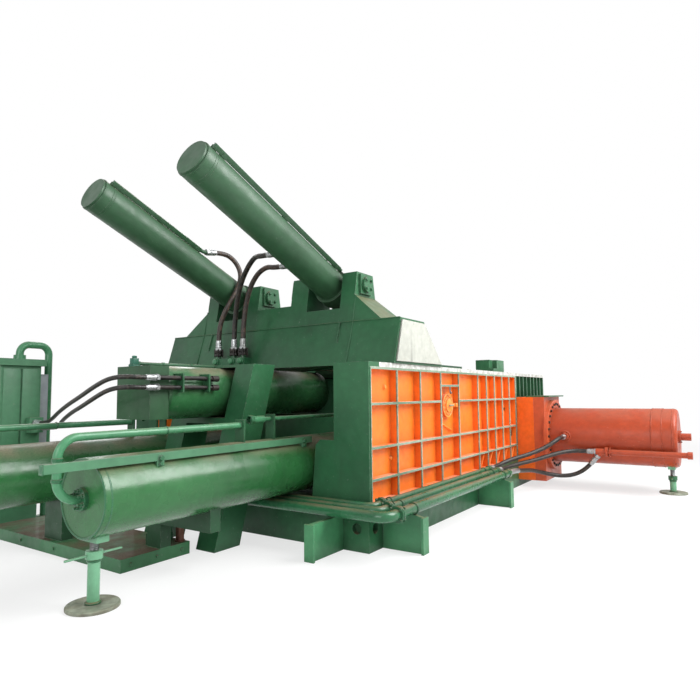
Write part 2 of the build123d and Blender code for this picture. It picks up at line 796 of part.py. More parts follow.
def lid_panel():
    """Lid: a plate with cross ribs, two long beams and hinge knuckles."""
    half = inner_width - lid_side_gap
    end = wall_length - lid_front_gap
    plate_top = lid_underside + lid_plate
    rib_top = plate_top + lid_rib_height
    lid = block(lid_start, end, -half, half, lid_underside, plate_top)
    first = lid_start + lid_rib_setback
    lid += block(first, end, -half, -half + lid_rib_width, plate_top - 1, rib_top)
    lid += block(first, end, half - lid_rib_width, half, plate_top - 1, rib_top)
    pitch = (end - first - lid_rib_width) / (lid_rib_count - 1)
    for i in range(lid_rib_count):
        x = first + i * pitch
        lid += block(x, x + lid_rib_width, -half + 1, half - 1, plate_top - 1, rib_top)
    for side in (-1, 1):
        for offset in (-1, 1):
            beam_y = side * lid_cylinder_y + offset * (eye_width / 2 + fork_slack + fork_plate / 2)
            lid += block(first + 1, end - 1, beam_y - fork_plate / 2, beam_y + fork_plate / 2, plate_top - 1,
                         plate_top + lid_beam_height)
    return lid


def lid_forks():
    """Fork plates on the lid, one pair for each rod eye, with an oversize hole for the pin."""
    eye_x, eye_z = eye_point()
    plate_top = lid_underside + lid_plate
    forks = []
    foot = plate_top + lid_beam_height
    outline = [(eye_x - fork_foot_half, foot), (eye_x + fork_foot_half, foot),
               (eye_x + fork_top_half, eye_z + fork_rise), (eye_x - fork_top_half, eye_z + fork_rise)]
    for side in (-1, 1):
        for offset in (-1, 1):
            y = side * lid_cylinder_y + offset * (eye_width / 2 + fork_slack + fork_plate / 2)
            plate = profile_xz(outline, y - fork_plate / 2, y + fork_plate / 2)
            hole = rod_y(eye_x, y - fork_plate, y + fork_plate, eye_z, eye_pin_radius + fork_hole_slack)
            forks.append(plate - hole)
    return forks


def lid_knuckles():
    """Hinge arms of the lid, each round a hinge pin."""
    arms = []
    plate_top = lid_underside + lid_plate
    for y in hinge_stations:
        half = knuckle_width / 2
        arm = rod_y(hinge_x, y - half, y + half, hinge_z, knuckle_radius)
        outline = [(hinge_x, hinge_z + knuckle_radius), (lid_start + lid_rib_setback, plate_top + lid_rib_height),
                   (lid_start + lid_rib_setback, plate_top), (lid_start + knuckle_toe, plate_top),
                   (hinge_x - knuckle_heel, hinge_z - knuckle_undercut)]
        arm += profile_xz(outline, y - half, y + half)
        arm -= rod_y(hinge_x, y - half - 1, y + half + 1, hinge_z, hinge_pin_radius + run_gap)
        arms.append(arm)
    return arms


def hinge_beam():
    """Cross beam inside the gantry's foot that carries the lid's hinge pins between lugs."""
    half = inner_width - 20
    back = hinge_x - knuckle_radius - hinge_beam_gap
    beam = block(back - hinge_beam_depth, back, -half, half, rail_top, rail_top + hinge_beam_height)
    lug_radius = knuckle_radius - hinge_lug_inset
    half_lug = hinge_lug_thickness / 2
    for y in hinge_stations:
        for outward in (-1, 1):
            lug_y = y + outward * (knuckle_width / 2 + hinge_lug_gap + half_lug)
            lug = rod_y(hinge_x, lug_y - half_lug, lug_y + half_lug, hinge_z, lug_radius)
            outline = [(back - 1, rail_top), (hinge_x, hinge_z - lug_radius),
                       (hinge_x, hinge_z + lug_radius), (back - 1, rail_top + hinge_beam_height)]
            lug += profile_xz(outline, lug_y - half_lug, lug_y + half_lug)
            lug -= rod_y(hinge_x, lug_y - half_lug - 1, lug_y + half_lug + 1, hinge_z, hinge_pin_radius + seat_gap)
            beam += lug
    return beam


def hinge_pins():
    """Pins of the lid's hinge."""
    reach = knuckle_width / 2 + hinge_lug_gap + hinge_lug_thickness + hinge_pin_overhang
    return [rod_y(hinge_x, y - reach, y + reach, hinge_z, hinge_pin_radius) for y in hinge_stations]


def press_cylinder(side):
    """Low main press cylinder: closed tube with a gland."""
    y = side * press_cylinder_y
    z = press_cylinder_z
    body = rod_x(press_tail, press_nose, y, z, press_radius)
    body -= rod_x(press_tail + press_cap, press_nose - press_cap, y, z, press_bore)
    body -= rod_x(press_nose - press_cap - 1, press_nose + 1, y, z, press_rod + run_gap)
    groove = rod_x(press_tail + 45, press_tail + 55, y, z, press_radius + 1)
    groove -= rod_x(press_tail + 44, press_tail + 56, y, z, press_radius - 5)
    return body - groove


def upper_cylinder():
    """High main press cylinder with a square block at its tail."""
    body = rod_x(upper_tail, upper_nose, 0, upper_z, upper_radius)
    half = upper_radius - 15
    body += block(upper_tail - upper_block, upper_tail + 1, -half, half, upper_z - half, upper_z + half)
    body -= rod_x(upper_tail + 20, upper_nose - 100, 0, upper_z, upper_bore)
    body -= rod_x(upper_nose - 101, upper_nose + 1, 0, upper_z, press_rod + run_gap)
    return body


def lower_seat():
    """Cross plate that holds the two low press cylinders."""
    seat = block(seat_start, press_nose, -inner_width, inner_width, floor_top, seat_top)
    for side in (-1, 1):
        seat -= rod_x(seat_start - 1, press_nose + 1, side * press_cylinder_y, press_cylinder_z,
                      press_radius + seat_gap)
    return seat


def upper_seat():
    """Cross plate in front of the high press cylinder, with legs down to the floor."""
    end = upper_seat_start + upper_seat_thickness
    seat = block(upper_seat_start, end, -inner_width, inner_width, seat_top, ram_top)
    seat -= rod_x(upper_seat_start - 1, end + 1, 0, upper_z, press_rod + 10)
    for side in (-1, 1):
        low, high = sorted((side * (inner_width - 120), side * inner_width))
        seat += block(upper_seat_start, end, low, high, floor_top, seat_top + 1)
    seat += block(press_nose, upper_seat_start + 1, -120, 120, seat_top - 200, seat_top)
    seat += block(upper_seat_start, end, -120, 120, floor_top, seat_top + 1)
    return seat


def main_ram():
    """Main ram: a thick box with pockets in its back."""
    half = inner_width - ram_side_gap
    low = floor_top + ram_bottom_gap
    ram = block(ram_start, ram_start + ram_length, -half, half, low, ram_top - 10)
    pocket_z = (low + 90, upper_z - 320)
    ram -= block(ram_start - 1, ram_start + ram_length - 200, -500, 500, *pocket_z)
    for side in (-1, 1):
        y0, y1 = sorted((side * 330, side * (half - 90)))
        ram -= block(ram_start - 1, ram_start + ram_length - 200, y0, y1, press_cylinder_z + 280, ram_top - 100)
    return ram


def main_rods():
    """The three press rods with their pistons."""
    rods = []
    for side in (-1, 1):
        y = side * press_cylinder_y
        start = press_tail + press_cap + 30
        rod = rod_x(start, ram_start, y, press_cylinder_z, press_rod)
        rod += rod_x(start, start + piston_length, y, press_cylinder_z, press_bore - run_gap)
        rods.append(rod)
    start = upper_tail + 25
    rod = rod_x(start, ram_start, 0, upper_z, press_rod)
    rod += rod_x(start, start + piston_length, 0, upper_z, upper_bore - run_gap)
    rods.append(rod)
    return rods


def yoke():
    """Two leaning pillars and a tie that carry the high press cylinder at mid length."""
    outline = [(yoke_foot_x, 0), (yoke_foot_x + yoke_depth, 0), (yoke_top_x + yoke_depth, yoke_top),
               (yoke_top_x, yoke_top)]
    lean = (yoke_top_x - yoke_foot_x) / yoke_top
    tie_low = upper_z + upper_radius + seat_gap
    body = None
    for side in (-1, 1):
        y0, y1 = sorted((side * yoke_inner, side * yoke_outer))
        pillar = profile_xz(outline, y0, y1)
        body = pillar if body is None else body + pillar
    for z0, z1 in ((tie_low, yoke_top), (upper_z - upper_radius - seat_gap - yoke_tie,
                                         upper_z - upper_radius - seat_gap)):
        x0 = yoke_foot_x + lean * z0
        x1 = yoke_foot_x + lean * z1
        tie = [(x0, z0), (x0 + yoke_depth, z0), (x1 + yoke_depth, z1), (x1, z1)]
        body += profile_xz(tie, -yoke_inner - 1, yoke_inner + 1)
    return body


def platform():
    """Low platform under the tails of the press cylinders."""
    return block(platform_start, platform_start + platform_length, -platform_near, platform_far, 0, platform_height)


def saddles():
    """Upright plates under the press cylinders, shaped to the tube."""
    plates = []
    y = press_cylinder_y
    for setback in saddle_setbacks:
        x = platform_start + setback
        plate = block(x, x + saddle_thickness, y - saddle_half_width, y + saddle_half_width, platform_height,
                      press_cylinder_z - saddle_drop)
        plates.append(plate - rod_x(x - 1, x + saddle_thickness + 1, y, press_cylinder_z, press_radius + seat_gap))
    bracket_x = platform_start + bracket_setback
    foot_end = bracket_foot_width - platform_near
    arm = block(bracket_x, bracket_x + saddle_thickness, -y - saddle_half_width, foot_end,
                press_cylinder_z - press_radius - bracket_sill, press_cylinder_z - saddle_drop)
    arm += block(bracket_x, bracket_x + saddle_thickness, -platform_near, foot_end, platform_height,
                 press_cylinder_z - press_radius - bracket_foot_drop)
    arm -= rod_x(bracket_x - 1, bracket_x + saddle_thickness + 1, -y, press_cylinder_z, press_radius + seat_gap)
    plates.append(arm)
    step_x = platform_start + step_block_setback
    plates.append(block(step_x, step_x + step_block_length, -step_block_out, step_block_width - step_block_out,
                        platform_height, platform_height + step_block_height))
    return plates


def stand(x, y, nut_z, carried_z, carried_radius, along_y=False):
    """Screw stand: round foot, post and screw with a cradle under a cylinder."""
    body = rod_z(x, y, 0, stand_foot_thickness, stand_foot_radius)
    top = nut_z - seat_gap
    body += rod_z(x, y, stand_foot_thickness - 1, top, stand_post_radius)
    cradle_top = carried_z - carried_radius + 60
    body += rod_z(x, y, top - 1, carried_z - carried_radius - 10, stand_screw_radius)
    cradle_low = carried_z - carried_radius - 25
    if along_y:
        cradle = block(x - 130, x + 130, y - 50, y + 50, cradle_low, cradle_top)
        cradle -= rod_y(x, y - 60, y + 60, carried_z, carried_radius + seat_gap)
    else:
        cradle = block(x - 50, x + 50, y - 110, y + 110, cradle_low, cradle_top)
        cradle -= rod_x(x - 60, x + 60, y, carried_z, carried_radius + seat_gap)
    return body + cradle


def stand_nut(x, y, nut_z):
    """Turning nut of a screw stand with two handle bars."""
    nut = rod_z(x, y, nut_z, nut_z + stand_nut_height, stand_nut_radius)
    nut -= rod_z(x, y, nut_z - 1, nut_z + stand_nut_height + 1, stand_screw_radius + run_gap)
    middle = nut_z + stand_nut_height / 2
    for turn in (0, 180):
        bar = Rot(0, 0, turn) * rod_x(stand_nut_radius - 8, stand_handle_reach, 0, 0, stand_handle_radius)
        nut += Pos(x, y, middle) * bar
    return nut


def side_box():
    """Box on the outer face of the -Y wall that carries the side cylinder."""
    x0 = side_axis_x - side_box_half
    x1 = side_axis_x + side_box_half
    box = block(x0, x1, -side_box_out, -half_width, side_box_low, side_box_high)
    return box - rod_y(side_axis_x, -side_box_out - 1, -half_width + 1, side_axis_z, side_radius + seat_gap)


def side_seat():
    """Square seat block with a round ring for the side cylinder, and a plate on its top."""
    x0 = side_axis_x - side_box_half
    x1 = side_axis_x + side_box_half
    seat = block(x0, x1, -seat_block_out, -side_box_out, side_box_low, side_box_high)
    seat += rod_y(side_axis_x, -seat_ring_out, -seat_block_out + 1, side_axis_z, seat_ring_radius)
    return seat - rod_y(side_axis_x, -seat_ring_out - 1, -side_box_out + 1, side_axis_z, side_radius + seat_gap)


def side_seat_plate():
    """Green plate on top of the side cylinder's seat."""
    x0 = side_axis_x - side_box_half
    x1 = side_axis_x + side_box_half
    return block(x0, x1, -seat_ring_out - 20, -side_box_out + 120, side_box_high, side_box_high + 22)


def side_bolts():
    """Ring of bolts round the side cylinder's seat."""
    bolts = []
    for i in range(side_bolt_count):
        turn = 2 * math.pi * i / side_bolt_count
        x = side_axis_x + side_bolt_circle * math.cos(turn)
        z = side_axis_z + side_bolt_circle * math.sin(turn)
        hexagon = extrude(RegularPolygon(bolt_radius * 1.25, 6), amount=bolt_height)
        bolts.append(Pos(x, -seat_ring_out, z) * Rot(90, 0, 0) * hexagon)
    return bolts


def side_cylinder():
    """Side cylinder: closed tube with a shallow domed cap and a raised band."""
    inner_end = -half_width - seat_gap
    body = rod_y(side_axis_x, -side_tail + 60, inner_end, side_axis_z, side_radius)
    cap = Pos(side_axis_x, -side_tail + 60, side_axis_z) * Rot(90, 0, 0)
    dome = Pos(0, 0, 29.5) * Cylinder(side_radius - 1, 61)
    dome = fillet(dome.edges().sort_by(Axis.Z)[-1], 50)
    body += cap * dome
    body += rod_y(side_axis_x, -side_band_start - side_band, -side_band_start, side_axis_z, side_radius + 5)
    body -= rod_y(side_axis_x, -side_tail + side_cap + 60, inner_end - side_cap, side_axis_z, side_bore)
    body -= rod_y(side_axis_x, inner_end - side_cap - 1, inner_end + 1, side_axis_z, side_rod + run_gap)
    return body


def side_ram():
    """Side ram with its guide shoes."""
    half = chamber_pocket_length / 2 - side_ram_gap
    middle = roof_start + chamber_pocket_length / 2
    low = floor_top + side_ram_gap
    high = pocket_ceiling - side_ram_gap
    return block(middle - half, middle + half, -inner_width - side_ram_length, -inner_width, low, high)


def side_rod_piece():
    """Rod of the side cylinder with its piston."""
    start = -side_tail + side_cap + 90
    end = -inner_width - side_ram_length
    rod = rod_y(side_axis_x, start, end, side_axis_z, side_rod)
    return rod + rod_y(side_axis_x, start, start + piston_length, side_axis_z, side_bore - run_gap)


def side_pipe():
    """Oil pipe along the side cylinder, with its brackets, end port and the tee for two hoses."""
    out = side_radius + side_pipe_radius + side_pipe_gap
    x = side_axis_x - math.sqrt(out**2 - (side_axis_z - side_pipe_z) ** 2)
    pipe = rod_y(x, -side_pipe_end, -side_pipe_start, side_pipe_z, side_pipe_radius)
    pipe += rod_y(x, -side_pipe_start - 1, -side_pipe_start + 35, side_pipe_z, side_pipe_radius + 30)
    pipe += rod_y(x, -side_pipe_end - 25, -side_pipe_end + 40, side_pipe_z, side_pipe_radius + 12)
    tee_start = -side_pipe_start + 34
    tee_end = tee_start + side_tee_length
    pipe += rod_y(x, tee_start, tee_end, side_pipe_z, side_tee_radius)
    ferrule_end = tee_end + side_ferrule_length - 20
    pipe += rod_y(x, tee_end - 1, ferrule_end, side_pipe_z, side_hose_radius + ferrule_wall)
    branch = Pos(0, 0, side_branch_length / 2) * Cylinder(side_hose_radius + ferrule_wall, side_branch_length)
    pipe += Pos(x, tee_start + 61, side_pipe_z) * Rot(-90 - side_branch_angle, 0, 0) * branch
    for y in side_bracket_stations:
        bracket = block(x - 30, x + 150, -y - 22, -y + 22, side_pipe_z - 30, side_pipe_z + 30)
        pipe += bracket - rod_y(side_axis_x, -y - 30, -y + 30, side_axis_z, side_radius + 5 + seat_gap)
    return pipe


def side_ports():
    """Port boss with a hose ferrule, and the rear port of the side cylinder."""
    face = side_axis_x - side_radius
    boss = rod_x(face - 70, face + 60, -side_port_y, side_axis_z, 62)
    boss += rod_x(face - 69 - side_ferrule_length, face - 69, -side_port_y, side_axis_z, side_hose_radius + ferrule_wall)
    boss -= rod_y(side_axis_x, -side_port_y - 80, -side_port_y + 80, side_axis_z, side_radius + seat_gap)
    rear_x = side_axis_x - 120
    rear_z = side_axis_z + 27
    rear = rod_y(rear_x, -side_tail - 165, -side_tail, rear_z, 55)
    rear += rod_y(rear_x, -side_tail - 30, -side_tail, rear_z, 95)
    return [boss, rear]


def gate():
    """Sliding discharge gate on the far side."""
    middle = roof_start + chamber_pocket_length / 2
    y0 = half_width + gate_gap
    plate = block(middle - gate_half, middle + gate_half, y0, y0 + gate_plate, gate_low, gate_high)
    for x in (middle - gate_half * 0.55, middle, middle + gate_half * 0.55):
        plate += block(x - 20, x + 20, y0 + gate_plate - 1, y0 + gate_plate + 60, gate_low + 60, gate_high - 60)
    return plate


def gate_guides():
    """Upper and lower guide rails of the gate, along the far wall."""
    middle = roof_start + chamber_pocket_length / 2
    x0 = middle - gate_half - gate_travel - 30
    x1 = middle + gate_half + 60
    y0 = half_width
    guides = []
    for low, high in ((gate_low - 62, gate_low - gate_gap), (gate_high + gate_gap, gate_high + 62)):
        rail = block(x0, x1, y0, y0 + gate_plate + 45, low, high)
        guides.append(rail)
    lip_low = block(x0, x1, y0 + gate_gap * 2 + gate_plate, y0 + gate_gap * 2 + gate_plate + 39, gate_low - 3,
                    gate_low + 38)
    lip_high = block(x0, x1, y0 + gate_gap * 2 + gate_plate, y0 + gate_gap * 2 + gate_plate + 39, gate_high - 38,
                     gate_high + 3)
    stop = block(x1, x1 + 50, y0, y0 + gate_plate + 45, gate_low - 62, gate_high + 62)
    return [guides[0] + lip_low + guides[1] + lip_high + stop]


def gate_cylinder():
    """Cylinder that draws the gate open, on two feet against the far wall."""
    gate_edge = roof_start + chamber_pocket_length / 2 - gate_half
    nose = gate_edge - gate_rod_exposed
    tail = nose - gate_barrel_length
    y = half_width + gate_gap + gate_plate / 2 + gate_barrel_radius
    z = (gate_low + gate_high) / 2
    body = rod_x(tail, nose, y, z, gate_barrel_radius)
    for x in (tail + 60, nose - 160):
        body += block(x, x + 90, half_width - rib_depth, y, z - gate_barrel_radius, z + gate_barrel_radius)
    body -= rod_x(tail + 60, nose - 70, y, z, gate_barrel_radius - 22)
    body -= rod_x(nose - 71, nose + 1, y, z, gate_rod_radius + run_gap)
    return body


def gate_rod():
    """Rod of the gate cylinder with piston and the lug on the gate's edge."""
    gate_edge = roof_start + chamber_pocket_length / 2 - gate_half
    nose = gate_edge - gate_rod_exposed
    y = half_width + gate_gap + gate_plate / 2 + gate_barrel_radius
    z = (gate_low + gate_high) / 2
    piston = nose - 150
    rod = rod_x(piston, gate_edge, y, z, gate_rod_radius)
    rod += rod_x(piston, piston + 60, y, z, gate_barrel_radius - 22 - run_gap)
    rod += block(gate_edge - 40, gate_edge, half_width + gate_gap + 10, y + gate_rod_radius + 15, z - 90, z + 90)
    return rod


def feed_pipe(side):
    """Feed pipe of a low press cylinder: out of the tail, up, and forward above the tube."""
    y = side * press_cylinder_y
    out_x = press_tail - feed_flange_thickness
    corner_x = press_tail - feed_pipe_reach
    points = [(out_x, y, press_cylinder_z), (corner_x, y, press_cylinder_z), (corner_x, y, feed_pipe_rise),
              (feed_pipe_end, y, feed_pipe_rise)]
    bend = feed_pipe_reach - feed_flange_thickness - 15
    pipe = tube_route("feed pipe", points, feed_pipe_radius, [bend, bend])
    for z in (press_cylinder_z + bend, feed_pipe_rise - bend):
        pipe += rod_z(corner_x, y, z - 6, z + 6, feed_pipe_radius + 5)
    return pipe


def feed_flanges():
    """Bolted flanges on the tails of the low press cylinders."""
    flanges = []
    for side in (-1, 1):
        y = side * press_cylinder_y
        flange = rod_x(press_tail - feed_flange_thickness, press_tail, y, press_cylinder_z, feed_flange_radius)
        for turn in range(30, 390, 60):
            bolt_y = y + 62 * math.cos(math.radians(turn))
            bolt_z = press_cylinder_z + 62 * math.sin(math.radians(turn))
            low = press_tail - feed_flange_thickness - 25
            flange += rod_x(low, low + 26, bolt_y, bolt_z, 11)
        flanges.append(flange)
    return flanges


def forward_pipe(side):
    """Thinner pipe that goes on towards the press box."""
    y = side * press_cylinder_y
    pipe = rod_x(forward_pipe_start, forward_pipe_end, y, forward_pipe_z, forward_pipe_radius)
    return pipe + rod_x(forward_pipe_start, forward_pipe_start + 160, y, forward_pipe_z, forward_pipe_radius + 14)


def pipe_supports():
    """Upright plates on the low press cylinders that hold the feed and forward pipes."""
    plates = []
    for side in (-1, 1):
        y = side * press_cylinder_y
        for x, pipe_z, pipe_radius in ((feed_pipe_end, feed_pipe_rise, feed_pipe_radius),
                                       (forward_pipe_start + 260, forward_pipe_z, forward_pipe_radius)):
            plate = block(x, x + 20, y - 60, y + 60, press_cylinder_z + 200, pipe_z + pipe_radius + 25)
            plate -= rod_x(x - 1, x + 21, y, press_cylinder_z, press_radius + seat_gap)
            if x != feed_pipe_end:
                plate -= rod_x(x - 1, x + 21, y, pipe_z, pipe_radius + seat_gap)
            plates.append(plate)
    return plates


def guard_rail():
    """Channel rail along the near press cylinder, on two clips."""
    y = -guard_rail_y
    half = guard_rail_width / 2
    low = guard_rail_z - guard_rail_height / 2
    high = guard_rail_z + guard_rail_height / 2
    rail = block(guard_rail_start, guard_rail_end, y - half, y + half, low, high)
    rail -= block(guard_rail_start - 1, guard_rail_end + 1, y - half + guard_rail_wall, y + half + 1,
                  low + guard_rail_wall, high - guard_rail_wall)
    for x in guard_clip_starts:
        end = x + guard_clip_length
        clip = block(x, end, y - half, y + guard_clip_reach, low - guard_clip_drop, low + 1)
        clip -= rod_x(x - 1, end + 1, -press_cylinder_y, press_cylinder_z, press_radius + seat_gap)
        rail += clip
    return rail


def outrigger_top(out):
    """The height of the outriggers' sloping top at a distance from the middle plane."""
    return base_height - outrigger_fall * (out - half_width) / outrigger_reach


def pipe_height(index):
    """The height of a base pipe's centre line, lying on the outriggers."""
    slope = math.atan(outrigger_fall / outrigger_reach)
    return outrigger_top(base_pipe_outs[index]) + (base_pipe_radii[index] + seat_gap) / math.cos(slope)


def base_pipe(index):
    """One of the three pipes that turn the near corner of the base."""
    z = pipe_height(index)
    y = -base_pipe_outs[index]
    x = base_pipe_starts[index]
    points = [(x, -base_pipe_inner, z), (x, y, z), (base_pipe_end, y, z)]
    return tube_route(f"base pipe {index + 1}", points, base_pipe_radii[index], [base_pipe_radii[index] * 2.4])


def pipe_flanges():
    """Bolted flange pairs on the base pipes just past the corner, and end fittings."""
    flanges = []
    for index, radius in enumerate(base_pipe_radii):
        y = -base_pipe_outs[index]
        z = pipe_height(index)
        x = base_pipe_starts[index] + radius * 2.4 + 60
        ring = rod_x(x, x + 50, y, z, radius + 26) - rod_x(x - 1, x + 51, y, z, radius + seat_gap)
        flanges.append(ring)
        fitting = rod_x(base_pipe_end, base_pipe_end + pipe_fitting_length, y, z, radius + 8)
        tip = base_pipe_end + pipe_fitting_length + side_ferrule_length
        fitting += rod_x(base_pipe_end + 1, tip, y, z, side_hose_radius + ferrule_wall)
        flanges.append(fitting)
    return flanges


def pipe_clamps():
    """Clamps that hold the base pipes on the outriggers."""
    clamps = []
    for station in outrigger_stations:
        for index, radius in enumerate(base_pipe_radii):
            y = -base_pipe_outs[index]
            z = pipe_height(index)
            x = station
            ring = rod_x(x - 14, x + 14, y, z, radius + 9) - rod_x(x - 15, x + 15, y, z, radius + seat_gap)
            cut = [(y - 200, outrigger_top(-y + 200) + seat_gap), (y + 200, outrigger_top(-y - 200) + seat_gap),
                   (y + 200, z - 200), (y - 200, z - 200)]
            ring -= profile_yz(cut, x - 16, x + 16)
            clamps.append(ring)
    return clamps


def tank():
    """Oil tank with a panel joint in its front and two hose ports."""
    body = block(tank_x, tank_x + tank_length, tank_y, tank_y + tank_width, 0, tank_height)
    middle = tank_x + tank_length / 2
    body -= block(middle - 8, middle + 8, tank_y - 1, tank_y + 12, 260, tank_height - 40)
    return body


def tank_ports_block():
    """Port block on the tank's front with the ferrules of the supply hoses."""
    xs = [x for x, z in tank_ports]
    zs = [z for x, z in tank_ports]
    body = block(min(xs) - 60, max(xs) + 8, tank_y - 100, tank_y, min(zs) - 60, max(zs) + 60)
    for x, z in tank_ports:
        body += rod_y(x, tank_y - 100 - supply_ferrule_length, tank_y - 50, z, supply_hose_radius + ferrule_wall)
    return body


def tank_cap():
    """Overhanging cap of the tank."""
    lip = tank_cap_lip
    return block(tank_x - lip, tank_x + tank_length + lip, tank_y - lip, tank_y + tank_width + lip, tank_height,
                 tank_height + tank_cap_height)


def tank_pipe():
    """Return pipe: up out of the cap, over, and down to the floor beside the tank."""
    top = tank_height + tank_cap_height
    points = [(tank_pipe_in, tank_pipe_y, top + 60), (tank_pipe_in, tank_pipe_y, tank_pipe_top),
              (tank_pipe_out, tank_pipe_y, tank_pipe_top), (tank_pipe_out, tank_pipe_y, 30)]
    bend = tank_pipe_radius * 2.6
    pipe = tube_route("tank pipe", points, tank_pipe_radius, [bend, bend])
    pipe += rod_z(tank_pipe_in, tank_pipe_y, top, top + 61, tank_pipe_radius + 25)
    return pipe + rod_z(tank_pipe_out, tank_pipe_y, 0, 31, tank_pipe_radius + 40)


def switch_box():
    """Grey switch box on the tank's side."""
    x = tank_x + tank_length
    return block(x, x + switch_box_width, tank_y + switch_box_setback, tank_y + switch_box_setback + switch_box_depth, switch_box_low,
                 switch_box_high)


def manifold():
    """Hose manifold on the foot of the gantry."""
    face = gantry_foot_front + 40
    y0 = min(manifold_ports) - 60
    y1 = max(manifold_ports) + 60
    body = block(manifold_x - 45, face, y0, y1, manifold_z - 60, manifold_z + 60)
    body -= profile_xz([(gantry_foot_front, rail_top), (gantry_bend_front, rail_top + gantry_bend_height),
                        (gantry_foot_back, rail_top + gantry_bend_height), (gantry_foot_back, rail_top)],
                       y0 - 1, y1 + 1)
    for y in manifold_ports:
        body += rod_z(manifold_x, y, manifold_z + 59, manifold_z + 100, 30)
    return body


def manifold_ferrules():
    """Crimped ferrules of the lid hoses, standing on the manifold."""
    base = manifold_z + 100
    ferrules = []
    for y in manifold_ports:
        hexagon = Pos(manifold_x, y, base) * extrude(RegularPolygon(lid_hose_radius + 12, 6), amount=36)
        stem = rod_z(manifold_x, y, base + 35, base + 36 + lid_ferrule_length, lid_hose_radius + ferrule_wall)
        ferrules.append(hexagon + stem)
    return ferrules


def upper_lines():
    """Two pipes along the high press cylinder, with a ferrule at the tail end of each."""
    lines = []
    for z in upper_line_heights:
        line = rod_x(upper_line_start, upper_line_end, -upper_line_y, z, upper_line_radius)
        line += rod_x(upper_line_start - supply_ferrule_length, upper_line_start + 1, -upper_line_y, z,
                      supply_hose_radius + ferrule_wall)
        line += rod_x(upper_line_end - 60, upper_line_end + 25, -upper_line_y, z, upper_line_radius + 10)
        lines.append(line)
    return lines


def line_clips():
    """Plates that stand out of the high press cylinder round its two pipes."""
    low = upper_line_heights[1] - upper_line_radius - 25
    high = upper_line_heights[0] + upper_line_radius + 25
    clips = []
    for x in (upper_line_start + 260, upper_line_end - 130):
        clip = block(x, x + 16, -upper_line_y - upper_line_radius - 20, -upper_radius * 0.6, low, high)
        clip -= rod_x(x - 1, x + 17, 0, upper_z, upper_radius + seat_gap)
        for z in upper_line_heights:
            clip -= rod_x(x - 1, x + 17, -upper_line_y, z, upper_line_radius + seat_gap)
        clips.append(clip)
    return clips


def lid_stop():
    """Block on the near top rail that the lid's edge lies beside."""
    outer = -half_width + lid_stop_inset
    top = rail_top + lid_stop_height
    body = block(lid_stop_start, lid_stop_end, outer, -inner_width - lid_stop_gap, rail_top, top)
    return body - block(lid_stop_start - 1, lid_stop_start + lid_stop_step, outer - 1, outer + lid_stop_cut,
                        rail_top + lid_stop_sill, top + 1)


def main():
    os.makedirs("parts", exist_ok=True)
    write("near_side_wall", [side_wall(True), wall_cover()])
    write("far_side_wall", mirror(side_wall(False), about=Plane.XZ))
    write("end_posts", both_sides(end_post()))
    write("top_rails", both_sides(top_rail()))
    write("base_beams", both_sides(side_beam()) + cross_beams())
    write("outriggers", outriggers())
    write("floor_plate", floor_plate())
    write("roof_block", roof_block())
    write("end_block", end_block())
    write("gantry", gantry() + bearing_blocks() + trunnion_caps())
    write("gantry_end_plates", gantry_end_plates())
    write("hinge_beam", [hinge_beam()] + hinge_pins())
    write("low_press_cylinders", [press_cylinder(-1), press_cylinder(1)])
    write("upper_press_cylinder", upper_cylinder())
    write("cylinder_seats", [lower_seat(), upper_seat()])
    write("cylinder_yoke", yoke())
    write("platform", [platform()] + saddles())
    near_stand = stand(stand_x, -press_cylinder_y, stand_nut_z, press_cylinder_z, press_radius)
    side_stand = stand(side_axis_x, side_stand_y, side_stand_nut_z, side_axis_z, side_radius, True)
    write("screw_stands", [near_stand, side_stand])
    write("near_stand_nut", stand_nut(stand_x, -press_cylinder_y, stand_nut_z))
    write("side_stand_nut", stand_nut(side_axis_x, side_stand_y, side_stand_nut_z))
    write("side_box", side_box())
    write("side_seat", side_seat())
    write("side_seat_plate", side_seat_plate())
    write("side_seat_bolts", side_bolts())
    write("side_cylinder", side_cylinder())
    write("side_pipes", [side_pipe()] + side_ports())
    write("pipe_flanges", feed_flanges() + pipe_flanges())
    write("feed_pipes", [feed_pipe(-1), feed_pipe(1), forward_pipe(-1), forward_pipe(1)])
    write("upper_lines", upper_lines())
    write("pipe_clamps", pipe_supports() + pipe_clamps() + line_clips())
    write("guard_rail", guard_rail())
    write("base_pipes", [base_pipe(index) for index in range(len(base_pipe_radii))])
    write("oil_tank", [tank(), tank_ports_block(), tank_cap()])
    write("tank_pipe", tank_pipe())
    write("switch_box", switch_box())
    write("hose_manifold", manifold())
    write("hose_ferrules", manifold_ferrules())
    write("lid_panel", lid_panel())
    write("lid_fittings", lid_forks() + lid_knuckles())
    for name, side in (("near", -1), ("far", 1)):
        write(f"{name}_lid_barrel", lid_barrel(side))
        write(f"{name}_lid_pipe", lid_pipe(side))
        write(f"{name}_lid_rod", lid_rod(side))
    write("main_ram", main_ram())
    write("main_rods", main_rods())
    write("side_ram", side_ram())
    write("side_rod", side_rod_piece())
    write("gate", [gate(), gate_rod()])
    write("gate_frame", gate_guides() + [gate_cylinder()])
    write("lid_stop", lid_stop())
    for prefix, routes, radius in (("lid_hose", lid_hose_routes, lid_hose_radius),
                                   ("side_hose", side_hose_routes, side_hose_radius),
                                   ("supply_hose", supply_hose_routes, supply_hose_radius)):
        for number, points in enumerate(routes, 1):
            name = f"{prefix}_{number}"
            write(name, tube_route(name, points, radius))


main()
